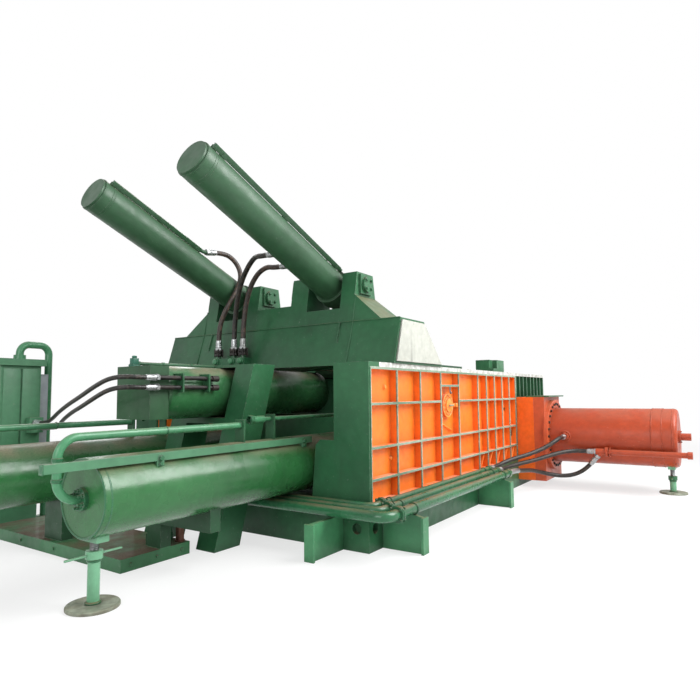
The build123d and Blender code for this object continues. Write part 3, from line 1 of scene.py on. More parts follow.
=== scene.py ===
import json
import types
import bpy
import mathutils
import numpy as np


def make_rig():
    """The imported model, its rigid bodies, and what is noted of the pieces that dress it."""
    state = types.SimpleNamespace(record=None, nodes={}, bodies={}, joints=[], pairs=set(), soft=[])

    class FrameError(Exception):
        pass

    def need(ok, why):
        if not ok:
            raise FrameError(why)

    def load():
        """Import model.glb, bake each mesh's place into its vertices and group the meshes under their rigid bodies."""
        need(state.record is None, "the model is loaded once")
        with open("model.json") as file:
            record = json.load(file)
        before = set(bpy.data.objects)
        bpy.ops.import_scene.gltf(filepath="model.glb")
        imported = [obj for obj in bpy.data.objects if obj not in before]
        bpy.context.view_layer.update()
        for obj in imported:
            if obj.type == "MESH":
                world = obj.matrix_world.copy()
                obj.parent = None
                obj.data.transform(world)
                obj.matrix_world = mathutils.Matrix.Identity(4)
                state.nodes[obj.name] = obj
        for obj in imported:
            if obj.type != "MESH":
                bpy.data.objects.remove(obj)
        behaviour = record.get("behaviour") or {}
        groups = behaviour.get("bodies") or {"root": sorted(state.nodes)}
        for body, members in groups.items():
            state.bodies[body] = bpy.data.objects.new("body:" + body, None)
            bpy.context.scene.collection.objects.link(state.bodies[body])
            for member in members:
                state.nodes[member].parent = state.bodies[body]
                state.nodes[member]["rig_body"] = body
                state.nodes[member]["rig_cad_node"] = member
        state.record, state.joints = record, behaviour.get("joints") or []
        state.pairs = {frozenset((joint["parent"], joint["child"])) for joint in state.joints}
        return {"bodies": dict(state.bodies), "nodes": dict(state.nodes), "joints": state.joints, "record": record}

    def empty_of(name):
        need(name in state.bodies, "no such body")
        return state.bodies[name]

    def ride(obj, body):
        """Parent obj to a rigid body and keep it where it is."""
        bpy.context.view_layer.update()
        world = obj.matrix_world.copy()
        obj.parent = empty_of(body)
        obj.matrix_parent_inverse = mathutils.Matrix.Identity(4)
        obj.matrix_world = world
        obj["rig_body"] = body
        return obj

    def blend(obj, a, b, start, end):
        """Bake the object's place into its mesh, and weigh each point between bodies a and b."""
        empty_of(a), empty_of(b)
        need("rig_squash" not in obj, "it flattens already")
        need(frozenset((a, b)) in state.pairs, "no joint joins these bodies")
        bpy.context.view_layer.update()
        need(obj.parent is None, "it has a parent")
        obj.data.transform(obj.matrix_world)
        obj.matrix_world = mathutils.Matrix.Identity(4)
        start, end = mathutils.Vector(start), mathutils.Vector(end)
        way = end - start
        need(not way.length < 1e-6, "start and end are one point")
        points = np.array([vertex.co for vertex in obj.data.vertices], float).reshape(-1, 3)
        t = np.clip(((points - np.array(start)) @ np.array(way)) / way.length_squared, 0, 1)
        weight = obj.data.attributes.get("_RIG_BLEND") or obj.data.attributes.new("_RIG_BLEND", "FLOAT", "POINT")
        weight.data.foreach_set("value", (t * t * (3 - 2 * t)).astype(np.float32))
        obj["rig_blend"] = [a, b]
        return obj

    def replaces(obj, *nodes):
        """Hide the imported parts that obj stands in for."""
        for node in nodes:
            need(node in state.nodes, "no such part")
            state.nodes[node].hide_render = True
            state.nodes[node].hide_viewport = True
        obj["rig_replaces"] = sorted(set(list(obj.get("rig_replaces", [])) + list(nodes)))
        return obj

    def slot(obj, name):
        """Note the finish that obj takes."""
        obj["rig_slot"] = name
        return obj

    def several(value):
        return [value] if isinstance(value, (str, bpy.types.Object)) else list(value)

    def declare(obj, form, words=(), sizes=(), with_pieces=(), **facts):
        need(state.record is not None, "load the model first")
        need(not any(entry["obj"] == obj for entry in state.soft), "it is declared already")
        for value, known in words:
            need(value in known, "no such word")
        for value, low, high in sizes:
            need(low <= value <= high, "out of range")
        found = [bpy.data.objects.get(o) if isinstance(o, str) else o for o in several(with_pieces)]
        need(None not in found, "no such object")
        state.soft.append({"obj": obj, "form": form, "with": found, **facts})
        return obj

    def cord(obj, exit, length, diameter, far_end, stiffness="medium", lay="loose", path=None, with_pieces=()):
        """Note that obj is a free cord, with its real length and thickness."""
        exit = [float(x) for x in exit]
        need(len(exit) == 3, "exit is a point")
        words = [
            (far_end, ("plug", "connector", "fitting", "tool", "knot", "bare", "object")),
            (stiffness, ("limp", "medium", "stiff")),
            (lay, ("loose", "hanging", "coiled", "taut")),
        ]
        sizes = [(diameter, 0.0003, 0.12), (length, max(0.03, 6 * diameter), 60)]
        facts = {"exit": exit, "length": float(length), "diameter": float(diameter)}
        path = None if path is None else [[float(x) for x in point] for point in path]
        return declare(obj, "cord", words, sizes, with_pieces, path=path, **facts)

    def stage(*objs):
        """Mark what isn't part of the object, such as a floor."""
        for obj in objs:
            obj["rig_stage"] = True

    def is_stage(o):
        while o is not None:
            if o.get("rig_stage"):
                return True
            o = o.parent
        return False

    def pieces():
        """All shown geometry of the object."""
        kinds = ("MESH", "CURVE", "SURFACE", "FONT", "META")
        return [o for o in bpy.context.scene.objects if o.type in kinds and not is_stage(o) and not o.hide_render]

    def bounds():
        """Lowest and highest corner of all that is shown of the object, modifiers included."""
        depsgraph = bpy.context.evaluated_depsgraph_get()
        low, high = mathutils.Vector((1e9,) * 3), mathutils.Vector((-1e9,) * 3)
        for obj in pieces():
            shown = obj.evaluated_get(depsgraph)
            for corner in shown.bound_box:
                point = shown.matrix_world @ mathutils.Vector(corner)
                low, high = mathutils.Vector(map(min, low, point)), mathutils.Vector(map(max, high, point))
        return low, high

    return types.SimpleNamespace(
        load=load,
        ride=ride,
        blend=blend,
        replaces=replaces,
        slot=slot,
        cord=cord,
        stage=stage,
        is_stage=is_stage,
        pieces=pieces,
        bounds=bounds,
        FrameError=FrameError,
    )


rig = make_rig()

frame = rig.load()

import json
import logging
import math
from dataclasses import dataclass, field
from enum import Enum

import bmesh
import bpy
from mathutils import Matrix, Vector

LOG = logging.getLogger("baler")
CAD_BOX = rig.bounds()

Point = tuple[float, float, float]
Pair = tuple[float, float]
Row = tuple[float, ...]
Rows = tuple[Row, ...]
Bead = tuple[Point, Point, float]
Shade = tuple[float, float, float, float]
Node = bpy.types.Node
Socket = bpy.types.NodeSocket
Piece = bpy.types.Object

# Ahead is from the press cylinders to the discharge gate, and the near side has the inspection cover.
AHEAD, BACK = (1, 0, 0), (-1, 0, 0)
FARWARD, NEARWARD = (0, 1, 0), (0, -1, 0)
UP, DOWN = (0, 0, 1), (0, 0, -1)
WHITE = (1, 1, 1, 1)
PORTS: Row = (0.74, 0.45, 0.29)


def shade(code: str) -> Shade:
    """Turns a colour code into linear light.

    Args:
        code: Six hexadecimal digits, red first.

    Returns:
        The linear red, green, blue and an alpha of one.
    """
    parts = [int(code[i:i + 2], 16) / 255 for i in (0, 2, 4)]
    linear = [p / 12.92 if p <= 0.04045 else ((p + 0.055) / 1.055) ** 2.4 for p in parts]
    return (linear[0], linear[1], linear[2], 1.0)


def circle(middle: Point, direction: Point, radius: float, count: int, start: float) -> list[Vector]:
    """Spaces points evenly on a circle that lies square to one of the axes.

    Args:
        middle: The circle's middle.
        direction: The axis that it lies square to.
        radius: Its radius.
        count: The number of points.
        start: The turn of the first point, in degrees.

    Returns:
        The points.
    """
    first, second = [i for i in range(3) if not direction[i]]
    points = []
    for i in range(count):
        turn = math.radians(start + 360 * i / count)
        point = Vector(middle)
        point[first] += radius * math.cos(turn)
        point[second] += radius * math.sin(turn)
        points.append(point)
    return points


def link(name: str, data: bpy.types.ID) -> Piece:
    """Puts an object into the scene.

    Args:
        name: The object's name.
        data: Its mesh, curve, camera or lamp.

    Returns:
        The object.
    """
    piece = bpy.data.objects.new(name, data)
    bpy.context.scene.collection.objects.link(piece)
    return piece


class Board:
    """Adds and wires shader nodes in one node tree."""

    def __init__(self, tree: bpy.types.NodeTree) -> None:
        """Keeps the tree that the nodes are added to."""
        self.tree = tree

    def add(self, kind: str, inputs: dict | None = None, **settings: object) -> Node:
        """Adds a node.

        Args:
            kind: The node's type without its ShaderNode prefix.
            inputs: What its inputs are fed with, by name or number.
            settings: Attributes of the node, set by name.

        Returns:
            The new node.
        """
        node = self.tree.nodes.new("ShaderNode" + kind)
        for key, value in settings.items():
            setattr(node, key, value)
        self.fill(node, inputs or {})
        return node

    def fill(self, node: Node, inputs: dict) -> None:
        """Feeds several inputs of a node.

        Args:
            node: The node.
            inputs: What its inputs are fed with, by name or number.
        """
        for key, source in inputs.items():
            self.feed(node.inputs[key], source)

    def feed(self, socket: Socket, source: object) -> None:
        """Links a socket to an output, or sets its value.

        Args:
            socket: The input.
            source: Another node's output, or a value.
        """
        if isinstance(source, Socket):
            self.tree.links.new(source, socket)
        else:
            socket.default_value = source

    def sum(self, operation: str, *values: object, clamp: bool = False) -> Socket:
        """Adds a Math node.

        Args:
            operation: The Math node's operation.
            values: Its inputs, outputs of nodes or numbers.
            clamp: Whether the result is kept from 0 to 1.

        Returns:
            The result's socket.
        """
        return self.add("Math", dict(enumerate(values)), operation=operation, use_clamp=clamp).outputs[0]

    def mix(self, share: object, first: object, second: object, blend: str = "MIX") -> Socket:
        """Mixes two colours.

        Args:
            share: The share of the second colour.
            first: The first colour.
            second: The second colour.
            blend: The way of blending.

        Returns:
            The mixed colour's socket.
        """
        return self.add("Mix", {0: share, 6: first, 7: second}, data_type="RGBA", blend_type=blend).outputs[2]

    def tint(self, colour: Socket, value: Socket) -> Socket:
        """Makes a colour lighter or darker by a value."""
        return self.mix(1.0, colour, self.mix(1.0, value, value), "MULTIPLY")

    def choose(self, share: Socket, first: Node, second: Node) -> Socket:
        """Mixes two shaders by a share of the second."""
        return self.add("MixShader", {0: share, 1: first.outputs[0], 2: second.outputs[0]}).outputs[0]

    def noise(self, place: Socket, scale: object, detail: float, stretch: Point = (1, 1, 1)) -> Socket:
        """Adds a noise over a place.

        Args:
            place: The coordinates.
            scale: How fine the noise is, per metre.
            detail: Its octaves.
            stretch: The scale along each axis.

        Returns:
            The noise's value socket.
        """
        if stretch != (1, 1, 1):
            place = self.add("Mapping", {"Vector": place, "Scale": stretch}).outputs[0]
        return self.add("TexNoise", {"Vector": place, "Scale": scale, "Detail": detail}).outputs[0]

    def spread(self, value: Socket, low: float, high: float, to_low: float = 0.0, to_high: float = 1.0) -> Socket:
        """Stretches a range of values smoothly onto another.

        Args:
            value: The value.
            low: Where the range starts.
            high: Where it ends.
            to_low: What low becomes.
            to_high: What high becomes.

        Returns:
            The new value's socket.
        """
        inputs = dict(enumerate((value, low, high, to_low, to_high)))
        return self.add("MapRange", inputs, interpolation_type="SMOOTHSTEP").outputs[0]


class Effect:
    """A shader node group with named inputs and outputs, built once."""

    name = "effect"
    takes: tuple[tuple[str, str, object], ...] = ()
    gives: tuple[tuple[str, str], ...] = (("Colour", "Color"), ("Roughness", "Float"), ("Height", "Float"))

    def __init__(self) -> None:
        """Makes the group's sockets and its inside."""
        self.tree = bpy.data.node_groups.new(self.name, "ShaderNodeTree")
        sockets = self.tree.interface
        for label, kind, value in self.takes:
            sockets.new_socket(name=label, in_out="INPUT", socket_type="NodeSocket" + kind).default_value = value
        for label, kind in self.gives:
            sockets.new_socket(name=label, in_out="OUTPUT", socket_type="NodeSocket" + kind)
        self.board = Board(self.tree)
        self.source = self.tree.nodes.new("NodeGroupInput")
        self.result = self.tree.nodes.new("NodeGroupOutput")
        self.inside()

    def inside(self) -> None:
        """Wires the inside of the group."""

    def place(self, board: Board, **values: object) -> Node:
        """Places the group in a material.

        Args:
            board: The material's board.
            values: The group's inputs by name.

        Returns:
            The group node.
        """
        inputs = {key.capitalize(): value for key, value in values.items()}
        return board.add("Group", inputs, node_tree=self.tree)


class WornPaintAndShade(Effect):
    """Workshop paint: two tones, chipped edges, dust on what faces up, dirt streaks that run down, and painted shade
    that darkens corners and recesses.
    """

    name = "worn paint and painted shade"
    takes = (("Paint", "Color", (0.1, 0.3, 0.1, 1)), ("Tone", "Color", (0.05, 0.2, 0.05, 1)),
             ("Bare", "Color", (0.4, 0.4, 0.4, 1)), ("Dust", "Color", (0.3, 0.2, 0.1, 1)),
             ("Wear", "Float", 0.5), ("Dusting", "Float", 0.5), ("Grime_and_shade", "Float", 0.3), ("Gloss", "Float", 0.4))
    # The dark colour that both the dirt streaks and the painted corner shade darken towards.
    soot_and_shade = (0.012, 0.01, 0.008, 1)
    corner_reach, edge_reach = 0.14, 0.007
    streaks = (7.0, 7.0, 0.5)

    def inside(self) -> None:
        """Wires the paint's tones, chips, dust, dirt streaks and painted corner shade."""
        b = self.board
        given = self.source.outputs
        place = b.add("TexCoord").outputs["Object"]
        normal = b.add("NewGeometry").outputs["Normal"]
        broad = b.spread(b.noise(place, 1.3, 3.0), 0.35, 0.7)
        colour = b.mix(broad, given["Paint"], given["Tone"])
        colour = b.tint(colour, b.spread(b.noise(place, 14.0, 6.0), 0.3, 0.75, 0.92, 1.07))
        streak = b.spread(b.noise(place, 1.0, 5.0, self.streaks), 0.52, 0.8)
        # Painted shade: ambient occlusion darkens corners and recesses, and joins the dirt streaks in one darkening.
        corner = b.add("AmbientOcclusion", {"Distance": self.corner_reach}, samples=4)
        painted_corner_shade = b.spread(corner.outputs["AO"], 0.45, 0.95, 1.0, 0.0)
        grime_and_shade = b.sum("MAXIMUM", b.sum("MULTIPLY", streak, 0.6), painted_corner_shade)
        grime_and_shade = b.sum("MULTIPLY", grime_and_shade, given["Grime_and_shade"], clamp=True)
        colour = b.mix(grime_and_shade, colour, b.mix(0.75, colour, self.soot_and_shade))
        round_edge = b.add("Bevel", {"Radius": self.edge_reach}, samples=4)
        dot = b.add("VectorMath", {0: round_edge.outputs[0], 1: normal}, operation="DOT_PRODUCT")
        edge = b.spread(dot.outputs["Value"], 0.8, 0.995, 1.0, 0.0)
        break_up = b.spread(b.noise(place, 26.0, 5.0), 0.42, 0.6)
        spots = b.spread(b.noise(place, 34.0, 2.0), 0.7, 0.74)
        chips = b.sum("MAXIMUM", b.sum("MULTIPLY", edge, break_up), b.sum("MULTIPLY", spots, 0.5))
        chips = b.sum("MULTIPLY", chips, given["Wear"], clamp=True)
        colour = b.mix(chips, colour, given["Bare"])
        top = b.spread(b.add("SeparateXYZ", {0: normal}).outputs["Z"], 0.45, 0.92)
        patch = b.spread(b.noise(place, 3.0, 6.0), 0.28, 0.62)
        dusty = b.sum("MULTIPLY", b.sum("MULTIPLY", top, patch), given["Dusting"], clamp=True)
        dust = b.tint(given["Dust"], b.spread(b.noise(place, 60.0, 4.0), 0.3, 0.7, 0.75, 1.2))
        rough = b.sum("ADD", given["Gloss"], b.spread(b.noise(place, 8.0, 5.0), 0.3, 0.7, -0.07, 0.1))
        rough = b.sum("ADD", rough, b.sum("MULTIPLY", b.sum("MAXIMUM", dusty, grime_and_shade), 0.4), clamp=True)
        peel = b.sum("MULTIPLY", b.noise(place, 90.0, 2.0), 0.0006)
        height = b.sum("ADD", peel, b.sum("MULTIPLY", b.noise(place, 2.2, 2.0), 0.01))
        height = b.sum("SUBTRACT", height, b.sum("MULTIPLY", chips, 0.0008))
        b.fill(self.result, {"Colour": b.mix(dusty, colour, dust), "Roughness": rough, "Height": height})


class RawMetal(Effect):
    """Bare or plated metal: brush marks, stains and rust."""

    name = "raw metal"
    takes = (("Metal", "Color", (0.5, 0.5, 0.5, 1)), ("Stain", "Color", (0.2, 0.1, 0.05, 1)),
             ("Staining", "Float", 0.5), ("Gloss", "Float", 0.4), ("Fineness", "Float", 20.0))
    gives = (*Effect.gives, ("Clean", "Float"))

    def inside(self) -> None:
        """Wires the metal's tone, stains and brush marks."""
        b = self.board
        given = self.source.outputs
        place = b.add("TexCoord").outputs["Object"]
        colour = b.tint(given["Metal"], b.spread(b.noise(place, given["Fineness"], 5.0), 0.3, 0.7, 0.72, 1.15))
        blot = b.spread(b.noise(place, 9.0, 7.0), 0.42, 0.66)
        stain = b.sum("MULTIPLY", blot, given["Staining"], clamp=True)
        rough = b.sum("ADD", given["Gloss"], b.sum("MULTIPLY", stain, 0.35))
        rough = b.sum("ADD", rough, b.spread(b.noise(place, 40.0, 4.0), 0.3, 0.7, -0.06, 0.08), clamp=True)
        b.fill(self.result, {"Colour": b.mix(stain, colour, given["Stain"]), "Roughness": rough,
                             "Height": b.sum("MULTIPLY", b.noise(place, 120.0, 3.0), 0.0005),
                             "Clean": b.sum("SUBTRACT", 1.0, stain, clamp=True)})


class Sheath(Effect):
    """Hose cover: cloth braid marks round the hose, scuffs and dust."""

    name = "hose sheath"
    takes = (("Cover", "Color", (0.02, 0.02, 0.02, 1)), ("Scuff", "Color", (0.1, 0.08, 0.06, 1)),
             ("Scuffing", "Float", 0.5))

    def inside(self) -> None:
        """Wires the braid, which follows the hose by its own map."""
        b = self.board
        given = self.source.outputs
        along = b.add("UVMap", uv_map="along").outputs[0]
        place = b.add("TexCoord").outputs["Object"]
        wave = b.add("TexWave", {"Vector": along, "Scale": 18.0, "Distortion": 0.6}, wave_type="BANDS",
                     bands_direction="DIAGONAL")
        braid = b.spread(wave.outputs["Fac"], 0.2, 0.8)
        rub = b.spread(b.noise(place, 22.0, 6.0), 0.45, 0.68)
        scuffed = b.sum("MULTIPLY", rub, b.spread(braid, 0.0, 1.0, 0.5, 1.0))
        scuffed = b.sum("MULTIPLY", scuffed, given["Scuffing"], clamp=True)
        b.fill(self.result, {"Colour": b.mix(scuffed, given["Cover"], given["Scuff"]),
                             "Roughness": b.spread(scuffed, 0.0, 1.0, 0.42, 0.8),
                             "Height": b.sum("MULTIPLY", braid, 0.0012)})


EFFECTS: dict[str, Effect] = {}


class Finish:
    """A finish that turns into one material the first time it is used."""

    def material(self) -> bpy.types.Material:
        """Gives the material, building it if it isn't there yet.

        Returns:
            The material.
        """
        found = bpy.data.materials.get(self.name)
        if found is None:
            found = bpy.data.materials.new(self.name)
            found.use_nodes = True
            self.wire(Board(found.node_tree), found.node_tree.nodes["Principled BSDF"])
        return found

    def wire(self, board: Board, shader: Node) -> None:
        """Wires the finish into the material's shader."""
        raise NotImplementedError

    def dress(self, board: Board, shader: Node, group: Node, rounding: float) -> None:
        """Feeds an effect into the shader, with its height and rounded edges as relief.

        Args:
            board: The material's board.
            shader: Its shader.
            group: The effect's group.
            rounding: The radius that the edges seem to have, in metres.
        """
        given = group.outputs
        bump = board.add("Bump", {"Height": given["Height"], "Distance": 1.0})
        if rounding > 0:
            soft = board.add("Bevel", {"Radius": rounding}, samples=4)
            board.feed(bump.inputs["Normal"], soft.outputs[0])
        board.fill(shader, {"Base Color": given["Colour"], "Roughness": given["Roughness"],
                            "Normal": bump.outputs[0]})


@dataclass(frozen=True)
class Paint(Finish):
    """A painted steel finish."""

    name: str
    paint: str
    tone: str
    bare: str = "8c9088"
    dust: str = "7d6650"
    wear: float = 0.6
    dusting: float = 0.6
    grime_and_shade: float = 0.45
    gloss: float = 0.38
    rounding: float = 0.006
    coat: float = 0.08
    shine: float = 0.4

    def group(self, board: Board, **changes: object) -> Node:
        """Places the worn paint in a material.

        Args:
            board: The material's board.
            changes: The values that differ from the finish's own.

        Returns:
            The group node.
        """
        tones = {key: shade(changes.get(key, getattr(self, key))) for key in ("paint", "tone", "bare", "dust")}
        shares = {key: changes.get(key, getattr(self, key)) for key in ("wear", "dusting", "grime_and_shade", "gloss")}
        return EFFECTS["paint"].place(board, **tones, **shares)

    def wire(self, board: Board, shader: Node) -> None:
        """Wires the worn paint into the shader."""
        self.dress(board, shader, self.group(board), self.rounding)
        board.fill(shader, {"Specular IOR Level": self.shine, "Coat Weight": self.coat, "Coat Roughness": 0.25})

    def overlay(self, board: Board, shader: Node, share: Socket, second: Node) -> None:
        """Wires the worn paint with a second coat over it.

        Args:
            board: The material's board.
            shader: Its shader.
            share: Where the second coat lies.
            second: The second coat's group.
        """
        first = self.group(board)
        self.dress(board, shader, first, self.rounding)
        for label, output in (("Base Color", "Colour"), ("Roughness", "Roughness")):
            board.feed(shader.inputs[label], board.mix(share, first.outputs[output], second.outputs[output]))


@dataclass(frozen=True)
class RibbedPaint(Paint):
    """Paint over an egg-crate wall: the ribs' outer faces are worn down to another coat."""

    rib: str = "8fa08c"
    rib_tone: str = "5f7a62"
    rib_bare: str = "d8dcd0"
    rib_face: float = 1.884
    rib_edge: float = 0.006
    ragged: float = 0.012

    def wire(self, board: Board, shader: Node) -> None:
        """Wires the panels' paint, and the ribs' worn coat on what stands out furthest.

        Args:
            board: The material's board.
            shader: Its shader.
        """
        rib = self.group(board, paint=self.rib, tone=self.rib_tone, bare=self.rib_bare, wear=1.0, grime_and_shade=0.5, gloss=0.5)
        place = board.add("TexCoord").outputs["Object"]
        out = board.sum("ABSOLUTE", board.add("SeparateXYZ", {0: place}).outputs["Y"])
        out = board.sum("ADD", out, board.sum("MULTIPLY", board.noise(place, 40.0, 4.0), self.ragged))
        self.overlay(board, shader, board.spread(out, self.rib_face, self.rib_face + self.rib_edge), rib)
        board.fill(shader, {"Coat Weight": 0.12, "Coat Roughness": 0.3})


@dataclass(frozen=True)
class ShadeSplitPaint(Paint):
    """Paint with another coat on all that lies past a place along one axis; one of the two is a darker copy, as painted
    shade.
    """

    # The default second coat is a dark green: painted shade.
    upper: str = "1d4a2c"
    upper_tone: str = "173c24"
    upper_dusting: float = 0.3
    upper_gloss: float = 0.5
    axis: str = "Z"
    above: float = 0.124
    seam: float = 0.003

    def wire(self, board: Board, shader: Node) -> None:
        """Wires the first paint, and the other one past the place.

        Args:
            board: The material's board.
            shader: Its shader.
        """
        upper = self.group(board, paint=self.upper, tone=self.upper_tone, dusting=self.upper_dusting,
                           gloss=self.upper_gloss)
        axes = board.add("SeparateXYZ", {0: board.add("TexCoord").outputs["Object"]})
        share = board.spread(axes.outputs[self.axis], self.above, self.above + self.seam)
        self.overlay(board, shader, share, upper)
        board.fill(shader, {"Specular IOR Level": self.shine, "Coat Weight": self.coat})


@dataclass(frozen=True)
class Metal(Finish):
    """A bare or plated metal finish."""

    name: str
    metal: str
    stain: str = "4a3526"
    staining: float = 0.4
    gloss: float = 0.35
    metallic: float = 1.0
    fineness: float = 20.0
    rounding: float = 0.003

    def wire(self, board: Board, shader: Node) -> None:
        """Wires the raw metal into the shader.

        Args:
            board: The material's board.
            shader: Its shader.
        """
        group = EFFECTS["metal"].place(board, metal=shade(self.metal), stain=shade(self.stain),
                                       staining=self.staining, gloss=self.gloss, fineness=self.fineness)
        self.dress(board, shader, group, self.rounding)
        board.feed(shader.inputs["Metallic"], board.sum("MULTIPLY", group.outputs["Clean"], self.metallic))


@dataclass(frozen=True)
class Rubber(Finish):
    """A hose cover."""

    name: str
    cover: str
    scuff: str = "57483c"
    scuffing: float = 0.5

    def wire(self, board: Board, shader: Node) -> None:
        """Wires the sheath into the shader."""
        group = EFFECTS["sheath"].place(board, cover=shade(self.cover), scuff=shade(self.scuff),
                                        scuffing=self.scuffing)
        self.dress(board, shader, group, 0.0)


class Coat(Enum):
    """The finishes of the baler."""

    GREEN = Paint("green paint", "2c6440", "235335")
    CYLINDER = Paint("green cylinder paint", "2c6838", "24582f", dust="8a7a66", dusting=0.7, grime_and_shade=0.25, gloss=0.25,
                     wear=0.3, coat=0.12)
    # Painted shade: the darker first paint lies on the rear of the cylinder with its tail block, behind X -1.152, and
    # the lighter second paint on the barrel ahead of it.
    HIGH = ShadeSplitPaint("high cylinder paint", "23532f", "1d4628", dust="8a7a66", dusting=0.3, grime_and_shade=0.35, gloss=0.45,
                    wear=0.5, upper="356e42", upper_tone="2c5f38", upper_dusting=0.7, upper_gloss=0.25, axis="X",
                    above=-1.152)
    LIFT = Paint("dark green cylinder paint", "33583c", "2b4c33", dusting=0.5, grime_and_shade=0.25, gloss=0.4, wear=0.3,
                 coat=0.0)
    # Painted shade: the saddles above Z 0.124, under the cylinders, take the dark green second coat; the dust on the
    # slab is real.
    DUSTY = ShadeSplitPaint("dusty green paint", "3c7c50", "316a43", dust="645444", dusting=1.0, grime_and_shade=0.4, wear=0.5)
    FOOTING = Paint("light green base paint", "43855a", "397650", dusting=0.5, wear=0.6)
    # Partly painted highlight: the stands' pale green is made paler still to stand for the highlight along their posts.
    STAND = Paint("pale green stand paint and painted highlight", "6ea682", "619a75", gloss=0.27, dusting=0.3, wear=0.4, grime_and_shade=0.15,
                  rounding=0.003)
    # Painted shade: a darker copy of the green paint, for the lid panel and the rams.
    SHADED = Paint("shaded green paint", "1f5030", "183f26", dusting=0.9, grime_and_shade=0.6, gloss=0.45)
    PIPE = Paint("green pipe paint", "2e6845", "275a3b", gloss=0.24, dusting=0.6, wear=0.5, grime_and_shade=0.25, rounding=0.003)
    MINT = Paint("light green pipe paint", "4c8c64", "417c57", gloss=0.27, dusting=0.3, wear=0.4, grime_and_shade=0.15,
                 rounding=0.003)
    TANK = Paint("green cabinet paint", "4d815f", "427252", gloss=0.4, dusting=0.4, wear=0.3, grime_and_shade=0.25)
    ORANGE = RibbedPaint("orange wall paint", "f0721b", "ec7a20", dust="e0a890", dusting=0.55, grime_and_shade=0.16, wear=0.2,
                         gloss=0.42)
    ORANGE_PLUG = Paint("light orange paint", "f7953f", "f28a34", bare="e8d8c0", dusting=0.5, grime_and_shade=0.3, wear=0.5,
                        rounding=0.003)
    ORANGE_BOX = Paint("orange box paint", "e8691e", "e2611c", bare="c9a68c", grime_and_shade=0.2, wear=0.3)
    SEAT = Paint("orange red seat paint", "c05630", "b8502c", bare="e8a48c", grime_and_shade=0.16, wear=0.3, gloss=0.4)
    RED = Paint("red cylinder paint", "a03c1a", "983918", bare="e8a48c", dust="8a5a45", grime_and_shade=0.16, wear=0.3,
                dusting=0.35, gloss=0.38, coat=0.0)
    PLATE = Paint("off-white plate paint", "b4b6ad", "a9aba2", bare="5d6a55", dust="8f8b7c", grime_and_shade=0.9, wear=1.0,
                  gloss=0.6)
    STRIP = Metal("pale steel strip", "cfd0cb", stain="8b8a80", staining=0.55, gloss=0.5, metallic=0.35)
    STEEL = Metal("bare steel", "8d8f90", staining=0.35, gloss=0.38)
    DARK = Metal("dark steel", "2c2b2a", stain="3c2f27", staining=0.5, gloss=0.45, metallic=0.6)
    BOLT = Metal("dark bolt steel", "3b3633", stain="5a3a2a", staining=0.4, gloss=0.4, metallic=0.8, rounding=0.002)
    TEAL = Paint("teal valve paint", "1f6b54", "195a46", gloss=0.35, dusting=0.3, wear=0.4, rounding=0.002)
    RUST = Metal("rusty pipe steel", "6b4438", stain="8a5f4a", staining=0.5, gloss=0.55, metallic=0.2)
    FOOT = Metal("dusty foot steel", "8a8f7e", stain="5d5140", staining=0.45, gloss=0.55, metallic=0.25)
    CHROME = Metal("polished rod", "c9ccd0", stain="8a8a86", staining=0.08, gloss=0.12, rounding=0.002)
    ZINC = Metal("zinc ferrule", "b4b7b8", stain="6b655c", staining=0.3, gloss=0.3, fineness=60.0, rounding=0.0015)
    HOSE = Rubber("black hose cover", "15130f")
    BROWN_HOSE = Rubber("brown hose cover", "2a211c", scuff="6b5546", scuffing=0.7)
    GREY = Paint("grey box paint", "8f969a", "868d92", bare="b5b8ba", dusting=0.4, grime_and_shade=0.2, wear=0.3)

    def material(self) -> bpy.types.Material:
        """Gives this finish's material."""
        return self.value.material()


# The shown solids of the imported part, by finish.
NODE_COATS: dict[Coat, tuple[str, ...]] = {
    Coat.GREEN: ("end_posts", "base_beams", "gantry", "hinge_beam", "roof_block", "end_block",
                 "side_seat_plate", "cylinder_seats", "cylinder_yoke", "pipe_clamps",
                 "lid_stop", "lid_fittings", "gate", "gate_frame", "side_stand_nut"),
    Coat.CYLINDER: ("low_press_cylinders",),
    Coat.HIGH: ("upper_press_cylinder",),
    Coat.LIFT: ("near_lid_barrel", "far_lid_barrel", "near_lid_pipe", "far_lid_pipe"),
    Coat.TANK: ("oil_tank", "guard_rail"),
    Coat.DUSTY: ("platform",),
    Coat.FOOTING: ("outriggers",),
    Coat.STAND: ("screw_stands", "near_stand_nut"),
    Coat.SHADED: ("lid_panel", "main_ram", "side_ram"),
    Coat.PIPE: ("base_pipes", "pipe_flanges", "hose_manifold"),
    Coat.MINT: ("feed_pipes", "tank_pipe"),
    Coat.ORANGE: ("near_side_wall", "far_side_wall"),
    Coat.ORANGE_BOX: ("side_box",),
    Coat.SEAT: ("side_seat",),
    Coat.RED: ("side_cylinder", "side_pipes"),
    Coat.PLATE: ("gantry_end_plates",),
    Coat.STRIP: ("top_rails",),
    Coat.STEEL: ("floor_plate",),
    Coat.DARK: ("upper_lines",),
    Coat.BOLT: ("side_seat_bolts",),
    Coat.CHROME: ("main_rods", "side_rod", "near_lid_rod", "far_lid_rod"),
    Coat.ZINC: ("hose_ferrules",),
    Coat.GREY: ("switch_box",),
}

# The record's slots of the scene's own pieces. A coat that isn't here belongs to the green paint.
SLOTS: dict[Coat, str] = {
    Coat.ORANGE_PLUG: "orange_paint", Coat.RED: "red_paint", Coat.GREY: "grey_box", Coat.DARK: "dark_steel",
    Coat.RUST: "dark_steel", Coat.STEEL: "bare_steel", Coat.FOOT: "bare_steel", Coat.ZINC: "ferrule_zinc",
    Coat.HOSE: "hose_rubber", Coat.BROWN_HOSE: "hose_rubber",
}


